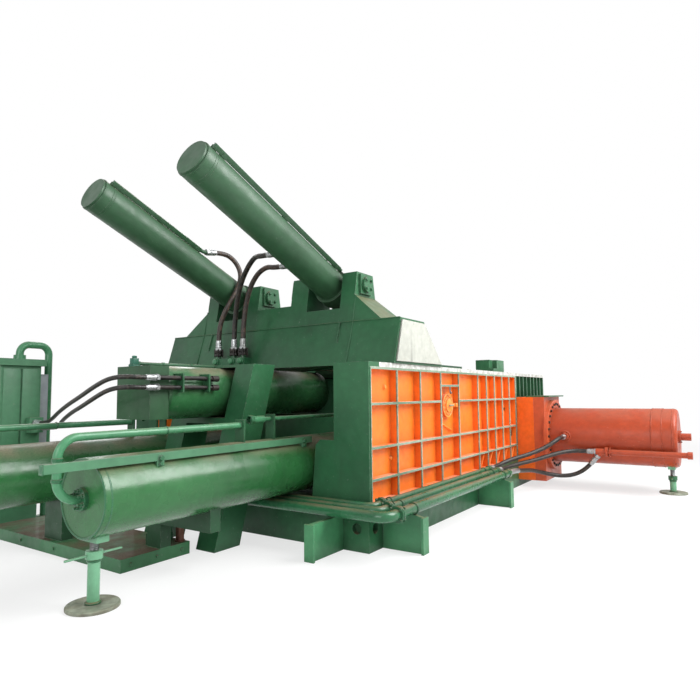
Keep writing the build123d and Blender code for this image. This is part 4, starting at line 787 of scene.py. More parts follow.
class Workbench:
    """Collects bodies of one piece in a bmesh and turns them into an object."""

    def __init__(self) -> None:
        """Starts with nothing on the bench."""
        self.mesh = bmesh.new()
        self.map = self.mesh.loops.layers.uv.new("along")

    def lathe(self, profile: list[Pair], origin: Point, direction: Point, sides: int,
              turn: float = 0.0, hollow: bool = False) -> None:
        """Turns a profile round an axis.

        Args:
            profile: Distances along the axis and radii; a last radius of 0 closes the end.
            origin: Where the axis starts.
            direction: Where it points.
            sides: The number of sides.
            turn: A turn about the axis, in radians.
            hollow: Whether it is a ring, with its last profile point joined to the first, and not closed by discs.
        """
        axis = Vector(direction).normalized()
        swing = axis.to_track_quat("Z", "Y").to_matrix()
        rings = []
        for along, radius in profile:
            if radius <= 0:
                rings.append([self.mesh.verts.new(Vector(origin) + axis * along)])
                continue
            angles = [turn + 2 * math.pi * i / sides for i in range(sides)]
            spots = [swing @ Vector((radius * math.cos(a), radius * math.sin(a), along)) for a in angles]
            rings.append([self.mesh.verts.new(Vector(origin) + spot) for spot in spots])
        for first, second in zip(rings, rings[1:]):
            self._band(first, second)
        if hollow:
            self._band(rings[-1], rings[0])
            return
        for ring, last in ((rings[0], False), (rings[-1], True)):
            if len(ring) > 1:
                self.mesh.faces.new(ring if last else ring[::-1]).smooth = False

    def collar(self, span: Pair, radii: Pair, slope: float, origin: Point,
               direction: Point, sides: int, turn: float = 0.0, hollow: bool = True) -> None:
        """Turns a collar that slopes down at both ends.

        Args:
            span: Where it starts and ends along the axis.
            radii: Its radius at both ends, and between the slopes.
            slope: The length of each slope.
            origin: Where the axis starts.
            direction: Where it points.
            sides: The number of sides.
            turn: A turn about the axis, in radians.
            hollow: Whether it is a ring, and not closed by discs.
        """
        (start, end), (low, high) = span, radii
        profile = [(start, low), (start + slope, high), (end - slope, high), (end, low)]
        self.lathe(profile, origin, direction, sides, turn, hollow)

    def _band(self, first: list, second: list) -> None:
        """Joins two rings, the second of which may be one point."""
        for i in range(len(first)):
            j = (i + 1) % len(first)
            if len(second) == 1:
                corners = (second[0], first[i], first[j])
            else:
                corners = (first[i], first[j], second[j], second[i])
            self.mesh.faces.new(corners).smooth = True

    def slab(self, low: Point, high: Point, bevel: float = 0.004) -> None:
        """Adds a block with rounded edges.

        Args:
            low: Its lowest corner.
            high: Its highest corner.
            bevel: The width of its rounded edges.
        """
        size = Vector(high) - Vector(low)
        middle = (Vector(high) + Vector(low)) / 2
        place = Matrix.Translation(middle) @ Matrix.Diagonal((*size, 1))
        made = bmesh.ops.create_cube(self.mesh, size=1.0, matrix=place)
        self._round({edge for vert in made["verts"] for edge in vert.link_edges}, bevel)

    def _round(self, edges: set, bevel: float) -> None:
        """Rounds edges, and shades only the new faces smooth."""
        if bevel > 0:
            made = bmesh.ops.bevel(self.mesh, geom=list(edges), offset=bevel, segments=3, affect="EDGES", profile=0.5)
            for face in made["faces"]:
                face.smooth = True

    def prism(self, outline: list[Point], push: Point, bevel: float = 0.003) -> None:
        """Pushes a flat outline along a vector.

        Args:
            outline: The corners of a flat face.
            push: The vector.
            bevel: The width of the rounded edges.
        """
        lower = [self.mesh.verts.new(p) for p in outline]
        upper = [self.mesh.verts.new(Vector(p) + Vector(push)) for p in outline]
        faces = [self.mesh.faces.new(lower[::-1]), self.mesh.faces.new(upper)]
        for i in range(len(outline)):
            j = (i + 1) % len(outline)
            faces.append(self.mesh.faces.new((lower[i], lower[j], upper[j], upper[i])))
        bmesh.ops.recalc_face_normals(self.mesh, faces=faces)
        self._round({edge for face in faces for edge in face.edges}, bevel)

    def tube(self, line: list[Vector], radii: list[float], sides: int) -> None:
        """Draws a round tube along a line, with its length mapped for the finish.

        Args:
            line: The points of the line.
            radii: The radius at each point.
            sides: The number of sides.
        """
        rings, lengths = [], [0.0]
        for first, second in zip(line, line[1:]):
            lengths.append(lengths[-1] + (second - first).length)
        side = None
        angles = [2 * math.pi * k / sides for k in range(sides)]
        for i, spot in enumerate(line):
            ahead = (line[min(i + 1, len(line) - 1)] - line[max(i - 1, 0)]).normalized()
            if side is None:
                side = ahead.orthogonal().normalized()
            side = (side - ahead * side.dot(ahead)).normalized()
            up = ahead.cross(side)
            spots = [spot + (side * math.cos(a) + up * math.sin(a)) * radii[i] for a in angles]
            rings.append([self.mesh.verts.new(place) for place in spots])
        around = 2 * math.pi * max(radii)
        for i, (first, second) in enumerate(zip(rings, rings[1:])):
            for k in range(sides):
                j = (k + 1) % sides
                face = self.mesh.faces.new((first[k], first[j], second[j], second[k]))
                face.smooth = True
                places = ((k, i), (k + 1, i), (k + 1, i + 1), (k, i + 1))
                for loop, (step, row) in zip(face.loops, places):
                    loop[self.map].uv = (lengths[row], around * step / sides)
        self.mesh.faces.new(rings[0][::-1])
        self.mesh.faces.new(rings[-1])

    def weld(self, start: Point, end: Point, size: float, pitch: float = 0.014) -> None:
        """Lays a weld bead with its ripples between two points.

        Args:
            start: Where the bead starts.
            end: Where it ends.
            size: Its radius.
            pitch: The length of one ripple.
        """
        first, last = Vector(start), Vector(end)
        count = max(4, int((last - first).length / pitch) * 2)
        line = [first.lerp(last, i / count) for i in range(count + 1)]
        radii = [size * (1.0 if i % 2 else 0.72) for i in range(count + 1)]
        radii[0] = radii[-1] = size * 0.4
        self.tube(line, radii, 6)

    def bolt(self, spot: Point, direction: Point, radius: float, height: float, turn: float = 0.3) -> None:
        """Adds a hexagon bolt head with a chamfered top, on a washer.

        Args:
            spot: The middle of the face that it stands on.
            direction: Where it points.
            radius: The radius over its corners.
            height: The height of the head.
            turn: The turn of its flats.
        """
        low = height * 0.2
        top = low + height
        self.lathe([(0, radius * 1.25), (low * 0.8, radius * 1.25), (low, radius * 1.18)], spot, direction, 16)
        self.lathe([(low * 0.9, radius), (top - height * 0.15, radius), (top, radius * 0.86)], spot, direction, 6, turn)

    def done(self, name: str, coat: Coat, smooth: float = 30.0, body: str = "frame") -> Piece:
        """Turns the bench into a dressed object that rides on a body.

        Args:
            name: The piece's name.
            coat: Its finish, which also says which of the record's slots it has.
            smooth: The angle under which its edges are shaded smooth, in degrees.
            body: The body that it rides on, or an empty name for none.

        Returns:
            The object.
        """
        data = bpy.data.meshes.new(name)
        self.mesh.normal_update()
        self.mesh.to_mesh(data)
        self.mesh.free()
        data.set_sharp_from_angle(angle=math.radians(smooth))
        data.materials.append(coat.material())
        piece = link(name, data)
        if body:
            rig.ride(piece, body)
        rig.slot(piece, SLOTS.get(coat, "green_paint"))
        LOG.info("%s: %d faces", name, len(data.polygons))
        return piece


class HosePath(Enum):
    """How a hose is carried: by the frame alone, or over to a lid cylinder."""

    FRAME = "frame"
    NEAR = "near_lid_barrel"
    FAR = "far_lid_barrel"


@dataclass
class Hose:
    """One hydraulic hose along its route."""

    name: str
    route: tuple[Point, ...]
    radius: float
    length: float
    coat: Coat
    carried: HosePath = HosePath.FRAME
    seen: list[Vector] = field(default_factory=list)

    def line(self) -> list[Vector]:
        """Reads the points of the route's smooth curve.

        Returns:
            Points close together along the hose.
        """
        curve = bpy.data.curves.new(self.name + "_line", "CURVE")
        curve.dimensions = "3D"
        spline = curve.splines.new("NURBS")
        spline.points.add(len(self.route) - 1)
        for place, spot in zip(spline.points, self.route):
            place.co = (*spot, 1.0)
        spline.order_u = 3
        spline.use_endpoint_u = True
        spline.resolution_u = 12
        holder = link(self.name + "_line", curve)
        bpy.context.view_layer.update()
        drawn = bpy.data.meshes.new_from_object(holder)
        points = [v.co.copy() for v in drawn.vertices]
        bpy.data.objects.remove(holder)
        bpy.data.meshes.remove(drawn)
        bpy.data.curves.remove(curve)
        return points

    def build(self) -> None:
        self.seen = self.line()
        body = "frame" if self.carried is HosePath.FRAME else ""
        bench = Workbench()
        bench.tube(self.seen, [self.radius] * len(self.seen), 20)
        piece = bench.done(self.name + "_cover", self.coat, 60.0, body)
        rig.replaces(piece, self.name)
        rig.cord(piece, self.route[0], self.length, self.radius * 2, far_end="object", stiffness="stiff", lay="hanging",
                path=self.seen)
        if not body:
            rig.blend(piece, "frame", self.carried.value, start=self.seen[0], end=self.seen[-1])


HOSES: tuple[Hose, ...] = (
    Hose("lid_hose_1", (
        (0.4, 0.74, 2.276), (0.4, 0.74, 2.41), (0.408, 0.7, 2.58), (0.445, 0.62, 2.765), (0.52, 0.562, 2.945),
        (0.62, 0.568, 3.12), (0.649, 0.6, 3.269), (0.594, 0.63, 3.387), (0.488, 0.655, 3.462), (0.3592, 0.673, 3.4729),
        (0.2456, 0.673, 3.4565)
    ), 0.032, 1.57, Coat.BROWN_HOSE, HosePath.FAR),
    Hose("lid_hose_2", (
        (0.4, 0.45, 2.276), (0.4, 0.45, 2.41), (0.38, 0.41, 2.6), (0.33, 0.325, 2.815), (0.27, 0.195, 3.02),
        (0.21, 0.02, 3.18), (0.145, -0.16, 3.265), (0.06, -0.34, 3.2263), (0.06, -0.46, 3.2263)
    ), 0.032, 1.58, Coat.HOSE, HosePath.NEAR),
    Hose("lid_hose_3", (
        (0.4, 0.29, 2.276), (0.4, 0.29, 2.41), (0.395, 0.262, 2.6), (0.375, 0.2, 2.81), (0.355, 0.1, 2.99),
        (0.34, -0.04, 3.12), (0.325, -0.195, 3.165), (0.3, -0.34, 3.1305), (0.3, -0.46, 3.1305)
    ), 0.032, 1.369, Coat.BROWN_HOSE, HosePath.NEAR),
    Hose("side_hose_1", (
        (3.26, -1.965, 0.471), (3.4, -1.965, 0.471), (3.56, -2.02, 0.51), (3.76, -2.13, 0.565), (3.98, -2.31, 0.62),
        (4.18, -2.49, 0.71), (4.3, -2.615, 0.81), (4.425, -2.654, 0.848), (4.552, -2.654, 0.848)
    ), 0.032, 1.577, Coat.HOSE),
    Hose("side_hose_2", (
        (3.26, -2.085, 0.451), (3.41, -2.085, 0.451), (3.6, -2.12, 0.465), (3.85, -2.215, 0.49), (4.12, -2.37, 0.525),
        (4.37, -2.52, 0.58), (4.56, -2.65, 0.615), (4.672, -2.775, 0.628), (4.716, -2.893, 0.632),
        (4.716, -3.01, 0.632)
    ), 0.032, 1.862, Coat.HOSE),
    Hose("side_hose_3", (
        (3.26, -2.24, 0.427), (3.41, -2.24, 0.427), (3.65, -2.25, 0.4), (3.93, -2.263, 0.375), (4.18, -2.29, 0.345),
        (4.38, -2.34, 0.3), (4.54, -2.44, 0.255), (4.64, -2.6, 0.225), (4.69, -2.79, 0.25), (4.716, -2.9621, 0.3486),
        (4.716, -3.0456, 0.448)
    ), 0.032, 2.039, Coat.HOSE),
    Hose("supply_hose_1", (
        (-1.48, -0.32, 1.745), (-1.59, -0.32, 1.745), (-1.685, -0.265, 1.75), (-1.74, -0.17, 1.74),
        (-1.735, -0.02, 1.715), (-1.69, 0.25, 1.65), (-1.6, 0.6, 1.57), (-1.48, 1.05, 1.48), (-1.34, 1.5, 1.385),
        (-1.22, 1.85, 1.3), (-1.18, 2.06, 1.25), (-1.18, 2.2, 1.25)
    ), 0.022, 2.819, Coat.HOSE),
    Hose("supply_hose_2", (
        (-1.48, -0.32, 1.65), (-1.59, -0.32, 1.65), (-1.68, -0.262, 1.652), (-1.732, -0.165, 1.64),
        (-1.725, -0.015, 1.612), (-1.67, 0.25, 1.55), (-1.58, 0.6, 1.47), (-1.45, 1.05, 1.385), (-1.29, 1.5, 1.29),
        (-1.13, 1.86, 1.21), (-1.08, 2.06, 1.18), (-1.08, 2.2, 1.18)
    ), 0.022, 2.832, Coat.HOSE),
)


@dataclass
class Fittings:
    """The crimped fittings at both ends of every hose."""

    ports: Row = PORTS
    thick: float = 0.032
    thin: float = 0.022
    grooves: int = 4

    def sleeve(self, bench: Workbench, tip: Point, toward: Point, r: float, span: float) -> None:
        """Turns a hexagon nut, a collar and a crimped sleeve that tapers onto the hose.

        Args:
            bench: The bench that the fitting is added to.
            tip: Where the hose goes into its fitting.
            toward: The way that the hose leaves.
            r: The hose's radius.
            span: The fitting's length.
        """
        way = Vector(toward).normalized()
        start = Vector(tip) - way * span
        nut = min(0.045, span * 0.3)
        bench.collar((0, nut), (r + 0.008, r + 0.013), 0.003, start, way, 6, 0.4, hollow=False)
        body = [(nut * 0.9, r + 0.004), (nut + 0.008, r + 0.0055), (nut + 0.01, r + 0.0095), (nut + 0.022, r + 0.0095)]
        first = nut + 0.026
        pitch = (span - 0.012 - first) / self.grooves
        for i in range(self.grooves):
            low = first + i * pitch
            body += [(low, r + 0.0062), (low + pitch * 0.12, r + 0.0082), (low + pitch * 0.82, r + 0.0082),
                     (low + pitch * 0.94, r + 0.0062)]
        body += [(span - 0.008, r + 0.0078), (span + 0.008, r + 0.0055), (span + 0.022, r + 0.0012)]
        bench.lathe(body, start, way, 28)

    def group(self, name: str, ends: list[tuple[Point, Point, float]], radius: float, body: str = "frame") -> Piece:
        """Builds the fittings of one place as one piece.

        Args:
            name: The piece's name.
            ends: Each fitting's tip, the way that the hose leaves it, and its length.
            radius: The hoses' radius.
            body: The body that carries them.

        Returns:
            The piece.
        """
        bench = Workbench()
        for tip, toward, span in ends:
            self.sleeve(bench, tip, toward, radius, span)
        return bench.done(name, Coat.ZINC, 40.0, body)

    def build(self) -> None:
        """Builds every fitting, with the manifold's own standing in for the plain ones."""
        tops = [((0.4, y, 2.276), UP, 0.112) for y in self.ports]
        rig.replaces(self.group("manifold_ferrules", tops, self.thick), "hose_ferrules")
        pipe = [((0.2456, 0.673, 3.4565), (0.9897, 0, 0.1433), 0.152)]
        self.group("far_lid_pipe_ferrule", pipe, self.thick, "far_lid_barrel")
        barrel = [((x, -0.4603, z), FARWARD, 0.116) for x, z in ((0.06, 3.2263), (0.3, 3.1305))]
        self.group("near_lid_barrel_ferrules", barrel, self.thick, "near_lid_barrel")
        side = [((3.26, y, z), AHEAD, 0.13) for y, z in ((-1.965, 0.471), (-2.085, 0.451), (-2.24, 0.427))]
        side += [((4.5535, -2.654, 0.848), BACK, 0.13), ((4.716, -3.0115, 0.632), FARWARD, 0.11),
                 ((4.716, -3.0456, 0.448), (0, 0.6428, -0.766), 0.17)]
        self.group("side_hose_ferrules", side, self.thick)
        supply = [((-1.481, -0.32, z), BACK, 0.13) for z in (1.745, 1.65)]
        supply += [((x, 2.201, z), NEARWARD, 0.13) for x, z in ((-1.18, 1.25), (-1.08, 1.18))]
        self.group("supply_hose_ferrules", supply, self.thin)


@dataclass
class GantryDressing:
    """Weld beads on the gantry and the end posts, and the bolts of the trunnion caps."""

    front: float = 0.62
    bend: float = 2.42
    half: float = 1.915
    beads: tuple[Bead, ...] = (
        ((0.458, 1.278, 1.91), (0.62, 1.278, 2.414), 0.013), ((0.62, 1.278, 2.424), (0.688, 1.278, 2.748), 0.013),
        ((0.688, 0.29, 2.79), (0.7285, 0.29, 3.02), 0.006), ((0.688, 1.27, 2.79), (0.7285, 1.27, 3.02), 0.006),
        ((0.462, 1.88, 1.902), (0.462, 1.46, 1.902), 0.008), ((-0.03, 1.894, 0.452), (-0.03, 1.457, 0.452), 0.009),
        ((-0.001, 1.8955, 0.46), (-0.001, 1.8955, 1.84), 0.006), ((0.66, 1.27, 2.7495), (1.137, 1.27, 2.7495), 0.008))
    trunnion: Pair = (0.89, 2.895)
    cap_outside: float = 1.335
    cap_inside: float = 0.225
    stud_circle: float = 0.072

    def build(self) -> None:
        """Builds the weld beads and the caps' bolts."""
        bench, studs = Workbench(), Workbench()
        bench.weld((self.front, -self.half, self.bend), (self.front, self.half, self.bend), 0.01)
        x, z = self.trunnion
        for side in (-1, 1):
            for (x0, y0, z0), (x1, y1, z1), size in self.beads:
                bench.weld((x0, side * y0, z0), (x1, side * y1, z1), size)
            for face, way in ((self.cap_outside, side), (self.cap_inside, -side)):
                spots = circle((x, side * face, z), FARWARD, self.stud_circle, 4, 45)
                for i, spot in enumerate(spots):
                    studs.bolt(spot, (0, way, 0), 0.019, 0.02, turn=4.5 + 9 * i)
        bench.done("gantry_welds", Coat.GREEN, 60.0)
        studs.done("trunnion_cap_bolts", Coat.PIPE)


@dataclass
class ManifoldDressing:
    """Nuts, plugs, taps and a bracket round the hose manifold."""

    x: float = 0.4
    front: float = 0.356
    ports: Row = PORTS
    nut_z: float = 2.084
    pin_z: float = 2.074
    plug_z: float = 2.008
    tap_z: float = 1.931
    lever_z: float = 1.874
    pin_circle: float = 0.052
    bracket_top: float = 1.93

    def build(self) -> None:
        """Builds the nuts, plugs, taps and the bracket."""
        nuts, plugs, taps, bracket = Workbench(), Workbench(), Workbench(), Workbench()
        for y in self.ports:
            nuts.lathe([(0, 0.052), (0.005, 0.057), (0.032, 0.057), (0.036, 0.05), (0.042, 0.044), (0.05, 0.044),
                        (0.053, 0.054), (0.078, 0.054), (0.082, 0.046)], (self.x, y, self.nut_z), UP, 6, 0.2)
            for spot in circle((self.x, y, self.pin_z), UP, self.pin_circle, 4, 40):
                nuts.lathe([(0, 0.009), (0.104, 0.009), (0.106, 0.006)], spot, UP, 10)
            plugs.lathe([(0, 0.044), (0.008, 0.046), (0.01, 0.04), (0.03, 0.04), (0.04, 0.034), (0.046, 0.022),
                         (0.048, 0)], (self.front, y, self.plug_z), BACK, 28)
            taps.lathe([(0, 0.018), (0.035, 0.018), (0.04, 0.026), (0.075, 0.026), (0.08, 0.016), (0.1, 0.016)],
                       (self.x, y, self.tap_z), DOWN, 18)
            taps.lathe([(0, 0.008), (0.045, 0.008)], (self.x, y, self.lever_z), BACK, 10)
            taps.slab((self.x - 0.052, y - 0.01, 1.835), (self.x - 0.044, y + 0.01, 1.885), 0.002)
        nuts.done("manifold_nuts", Coat.DARK)
        plugs.done("manifold_plugs", Coat.MINT)
        taps.done("manifold_taps", Coat.DARK)
        edge, top = self.front + 0.016, self.bracket_top
        bracket.prism([(edge, 0.8, top), (edge, 0.235, top), (edge, 0.235, 1.79), (edge, 0.3, 1.77)], (0.014, 0, 0))
        bracket.slab((edge, 0.235, top - 0.012), (0.455, 0.8, top), 0.003)
        bracket.done("manifold_bracket", Coat.GREEN)


@dataclass
class WallDressing:
    """The round cover's disc, handle and lugs, and the plugs and holes in the panels of the near wall."""

    face: float = -1.804
    rib: float = -1.894
    cover_x: float = 1.9775
    cover_z: float = 1.41
    cover: float = 0.15
    bolt_circle: float = 0.12
    rod: tuple[Point, ...] = ((1.79, 0.02, 1.195), (1.9, 0.022, 1.16), (2.13, 0.022, 1.085), (2.155, 0.006, 1.077))
    plugs: Rows = ((0.427, 1.641), (0.534, 0.87))
    holes: Rows = ((4.316, 1.299, 0.02), (4.64, 0.905, 0.024), (4.64, 0.862, 0.018))

    def build(self) -> None:
        """Builds the cover's details, the plugs, the short rib's hook and the holes."""
        lugs, hook, holes = Workbench(), Workbench(), Workbench()
        x, z, y, r = self.cover_x, self.cover_z, self.face - 0.045, self.cover
        disc = [(-0.002, r + 0.006), (0.006, r + 0.006), (0.009, r + 0.003), (0.009, r - 0.008), (0.003, r - 0.014),
                (0.003, 0.092), (0.012, 0.088), (0.027, 0.086), (0.029, 0.082), (0.029, 0)]
        lugs.lathe(disc, (x, y, z), NEARWARD, 56)
        for spot in circle((x, y - 0.003, z), NEARWARD, self.bolt_circle, 12, 15):
            lugs.bolt(spot, NEARWARD, 0.011, 0.01)
        lugs.slab((x + 0.13, y - 0.004, z - 0.022), (x + 0.275, y + 0.02, z + 0.022), 0.006)
        lugs.lathe([(0, 0.03), (0.03, 0.03), (0.036, 0.024)], (x + 0.25, y + 0.01, z), NEARWARD, 20)
        for low in (0.15, -0.19):
            lugs.slab((x - 0.175, self.face - 0.03, z + low), (x - 0.12, self.face + 0.001, z + low + 0.035), 0.004)
        rod = [Vector((px, self.face - out, pz)) for px, out, pz in self.rod]
        lugs.tube(rod, [0.009] * len(rod), 10)
        for px, pz in self.plugs:
            lugs.lathe([(0, 0.026), (0.005, 0.026), (0.012, 0.021), (0.022, 0.019), (0.026, 0.012)],
                       (px, self.face + 0.001, pz), NEARWARD, 24)
        lugs.done("wall_cover_lugs", Coat.ORANGE_PLUG, 35.0)
        hook.slab((x - 0.014, self.rib + 0.002, 1.56), (x + 0.014, self.rib + 0.012, 1.662), 0.003)
        hook.lathe([(0, 0.016), (0.014, 0.016), (0.018, 0.01)], (x, self.rib + 0.003, 1.572), NEARWARD, 16)
        hook.done("short_rib_hook", Coat.STEEL, 35.0)
        for px, pz, r in self.holes:
            holes.lathe([(0, r + 0.008), (0.004, r + 0.008), (0.005, r), (0.0052, r * 0.3), (0.0052, 0)],
                        (px, self.face + 0.001, pz), NEARWARD, 20)
        holes.done("wall_panel_holes", Coat.DARK, 35.0)


@dataclass
class CylinderDressing:
    """Weld rings, rail bolts and pipe details of the low press cylinders and their pipes."""

    tail: float = -2.43
    y: float = 0.881
    z: float = 0.81
    radius: float = 0.3
    pipe_z: float = 1.27
    union: Pair = (-0.64, 1.318)
    plate: tuple[Point, Point] = ((-2.8498, -1.1115, 1.046), (-2.844, -1.0585, 1.118))
    rail_bolts: Rows = ((-1.108, 1.072, 0.022, 0.018), (-1.109, 1.03, 0.018, 0.014))
    rail_x: Pair = (-1.915, -0.085)
    bead_x: Row = (1.178, 0.971)
    joint_x: Row = (-0.83, -1.7)
    stud_circle: float = 0.062

    def build(self) -> None:
        """Builds the rings, the rail's end plate, the bolts and the pipe joints."""
        rings, bolts = Workbench(), Workbench()
        r, z = self.radius, self.z
        for x in self.rail_x:
            for rail_y, rail_z, size, height in self.rail_bolts:
                bolts.bolt((x, rail_y, rail_z), NEARWARD, size, height)
        bolts.slab(*self.plate, 0.001)
        for y in (-self.y, self.y):
            rings.lathe([(-0.002, r - 0.02), (-0.007, r - 0.014), (-0.007, r - 0.006), (-0.001, r - 0.001),
                         (0.006, r + 0.0005)], (self.tail, y, z), AHEAD, 64, hollow=True)
            rings.collar((0, 0.016), (r - 0.001, r + 0.0015), 0.003, (self.tail + 0.042, y, z), AHEAD, 64)
            for x in self.bead_x:
                rings.collar((0, 0.014), (r + 0.001, r + 0.008), 0.004, (x, y, z), AHEAD, 64)
            for x in self.joint_x:
                rings.collar((0, 0.016), (0.033, 0.038), 0.004, (x, y, self.pipe_z), AHEAD, 28)
            for height in (z + 0.155, self.pipe_z - 0.155):
                rings.collar((-0.014, 0.014), (0.034, 0.0385), 0.004, (self.tail - 0.2, y, height), UP, 28)
            rings.collar((-0.05, 0), (0.036, 0.05), 0.004, (self.union[0], y, self.union[1]), AHEAD, 6, 0.2)
            for spot in circle((self.tail - 0.0295, y, z), BACK, self.stud_circle, 6, 30):
                bolts.bolt(spot, BACK, 0.0165, 0.016)
                bolts.lathe([(0.0005, 0.0095), (0.0405, 0.0095), (0.0435, 0.007)], spot, BACK, 12)
        rings.done("cylinder_weld_rings", Coat.PIPE, 40.0)
        bolts.done("feed_flange_studs", Coat.PIPE)


@dataclass
class BaseDressing:
    """Flange bolts, joint lines and weld beads of the base."""

    pipes: Rows = (
        (-0.1152, -2.24, 0.427, 0.052), (-0.0292, -2.085, 0.451, 0.042), (0.0464, -1.965, 0.471, 0.036))
    side: float = 1.8955
    seam_x: Row = (0.2125, 0.2575, 2.8575, 2.9025)

    def build(self) -> None:
        """Builds the bolts round the pipe flanges, the joint line between each pair, and the welds."""
        bolts, welds = Workbench(), Workbench()
        for x, y, z, r in self.pipes:
            for spot in circle((x, y, z), AHEAD, (r + 0.016) * 1.12, 4, 45):
                bolts.bolt(spot, BACK, 0.0125, 0.013)
                bolts.bolt(spot + Vector((0.05, 0, 0)), AHEAD, 0.0125, 0.013)
                bolts.lathe([(0.052, 0.006), (0.082, 0.006)], spot, AHEAD, 10)
            bolts.lathe([(0, r + 0.03), (0.006, r + 0.0305), (0.012, r + 0.03)], (x + 0.019, y, z), AHEAD, 32)
        bolts.done("base_pipe_flange_bolts", Coat.PIPE)
        for y in (-self.side, self.side):
            for x in self.seam_x:
                welds.weld((x, y, 0.02), (x, y, 0.44), 0.007)
            top = math.copysign(self.side - 0.0005, y)
            welds.weld((0, top, 0.4505), (4.69, top, 0.4505), 0.006, 0.02)
        welds.done("base_welds", Coat.GREEN, 60.0)


@dataclass
class SideDressing:
    """Weld lines, unions and bolts of the side cylinder."""

    x: float = 5.2
    z: float = 0.848
    radius: float = 0.448
    pipe_z: float = 0.632
    pipe_reach: float = 0.53
    seams: Rows = ((-3.895, 0.006), (-4.034, 0.006), (-4.17, 0.001), (-2.416, 0.012))
    port_y: float = -2.654
    port_x: float = 4.681
    flange_x: float = 4.744
    elbow_y: float = -3.258
    elbow_bands: Pair = (-3.295, -3.33)
    stub: Point = (5.08, -4.266, 0.875)
    bolts: int = 6
    bright: float = 0.3

    def build(self) -> None:
        """Builds the cylinder's rings, the port's flange and the bolts."""
        rings = Workbench()
        z, y = self.z, self.port_y
        for along, out in self.seams:
            r = self.radius + out
            rings.collar((-0.007, 0.007), (r - 0.004, r + 0.003), 0.003, (self.x, along, z), FARWARD, 72)
        px, pz = self.x - math.sqrt(self.pipe_reach ** 2 - (z - self.pipe_z) ** 2), self.pipe_z
        for along in self.elbow_bands:
            rings.collar((-0.006, 0.006), (0.06, 0.074), 0.002, (px, along, pz), FARWARD, 32)
        rings.lathe([(-0.012, 0.06), (-0.012, 0.088), (-0.007, 0.093), (0.016, 0.093), (0.016, 0.06)],
                    (self.flange_x, y, z), AHEAD, 40, hollow=True)
        for middle, way, reach, start, size in (
                ((px, self.elbow_y, pz), FARWARD, 0.058, 30, 0.01), ((self.port_x, y, z), BACK, 0.05, 30, 0.009),
                ((self.flange_x, y, z), BACK, 0.074, 30 + math.degrees(0.5), 0.009),
                (self.stub, NEARWARD, 0.078, 30, 0.011)):
            for spot in circle(middle, way, reach, self.bolts, start):
                rings.bolt(spot, way, size, max(size, 0.01))
        rings.done("side_cylinder_rings", Coat.RED, 40.0)

    def bright_start(self, hose: Hose) -> None:
        """Covers the first stretch of a hose with a bright bent tube end.

        Args:
            hose: The hose, already built.
        """
        line, run = [hose.seen[0]], 0.0
        for first, second in zip(hose.seen, hose.seen[1:]):
            run += (second - first).length
            line.append(second)
            if run > self.bright:
                break
        radii = [hose.radius + 0.004] * (len(line) - 1) + [hose.radius + 0.001]
        bench = Workbench()
        bench.tube(line, radii, 24)
        piece = bench.done("side_hose_bright_end", Coat.ZINC, 40.0)
        LOG.info("%s covers %.2f m", piece.name, run)


@dataclass
class TankDressing:
    """Doors, hinges, handles and switch box fittings of the oil tank."""

    left: float = -1.55
    right: float = -1.07
    near: float = 2.43
    side_doors: Rows = ((2.8, 3.18), (3.2, 3.58))
    box_face: float = -0.955
    hinges: Pair = (0.5, 1.7)
    grips: Pair = (3.15, 3.23)
    grip: Rows = ((0.01, 1.05), (0.038, 1.06), (0.04, 1.18), (0.01, 1.19))
    knobs: Rows = (
        (2.62, 1.62, 0.028), (2.54, 1.48, 0.015), (2.62, 1.48, 0.015), (2.7, 1.48, 0.015), (2.54, 1.4, 0.015),
        (2.62, 1.4, 0.015), (2.7, 1.4, 0.015))

    def build(self) -> None:
        """Builds the doors, the handles and the switch box's face and knobs."""
        doors, handles, door, knobs = Workbench(), Workbench(), Workbench(), Workbench()
        left, right, near, face = self.left, self.right, self.near, self.box_face
        middle = (left + right) / 2
        for x0, x1 in ((left + 0.025, middle - 0.012), (middle + 0.012, right - 0.025)):
            doors.slab((x0, near - 0.007, 0.32), (x1, near + 0.001, 1.925), 0.003)
        for y0, y1 in self.side_doors:
            doors.slab((right - 0.001, y0, 0.28), (right + 0.012, y1, 1.9))
            doors.slab((left - 0.012, y0 - 0.3, 0.28), (left + 0.001, y1 - 0.3, 1.9))
            for z in self.hinges:
                doors.lathe([(0, 0.012), (0.1, 0.012)], (right + 0.016, y0 + 0.004, z), UP, 12)
        doors.done("tank_doors", Coat.TANK)
        for y in self.grips:
            grip = [Vector((right + out, y, z)) for out, z in self.grip]
            handles.tube(grip, [0.006] * len(grip), 10)
        handles.done("tank_handles", Coat.STEEL)
        door.slab((face - 0.001, 2.485, 0.97), (face + 0.006, 2.755, 1.84), 0.003)
        for z in (1.1, 1.7):
            door.lathe([(0, 0.009), (0.07, 0.009)], (face + 0.008, 2.757, z), UP, 12)
        door.slab((-1.066, 2.464, 0.975), (-0.96, 2.471, 1.835), 0.003)
        door.done("switch_box_door", Coat.GREY)
        for y, z, r in self.knobs:
            knobs.lathe([(0, r * 1.3), (0.006, r * 1.3), (0.008, r), (0.022, r * 0.92), (0.026, r * 0.7)],
                        (face + 0.005, y, z), AHEAD, 20)
        knobs.done("switch_box_knobs", Coat.DARK)


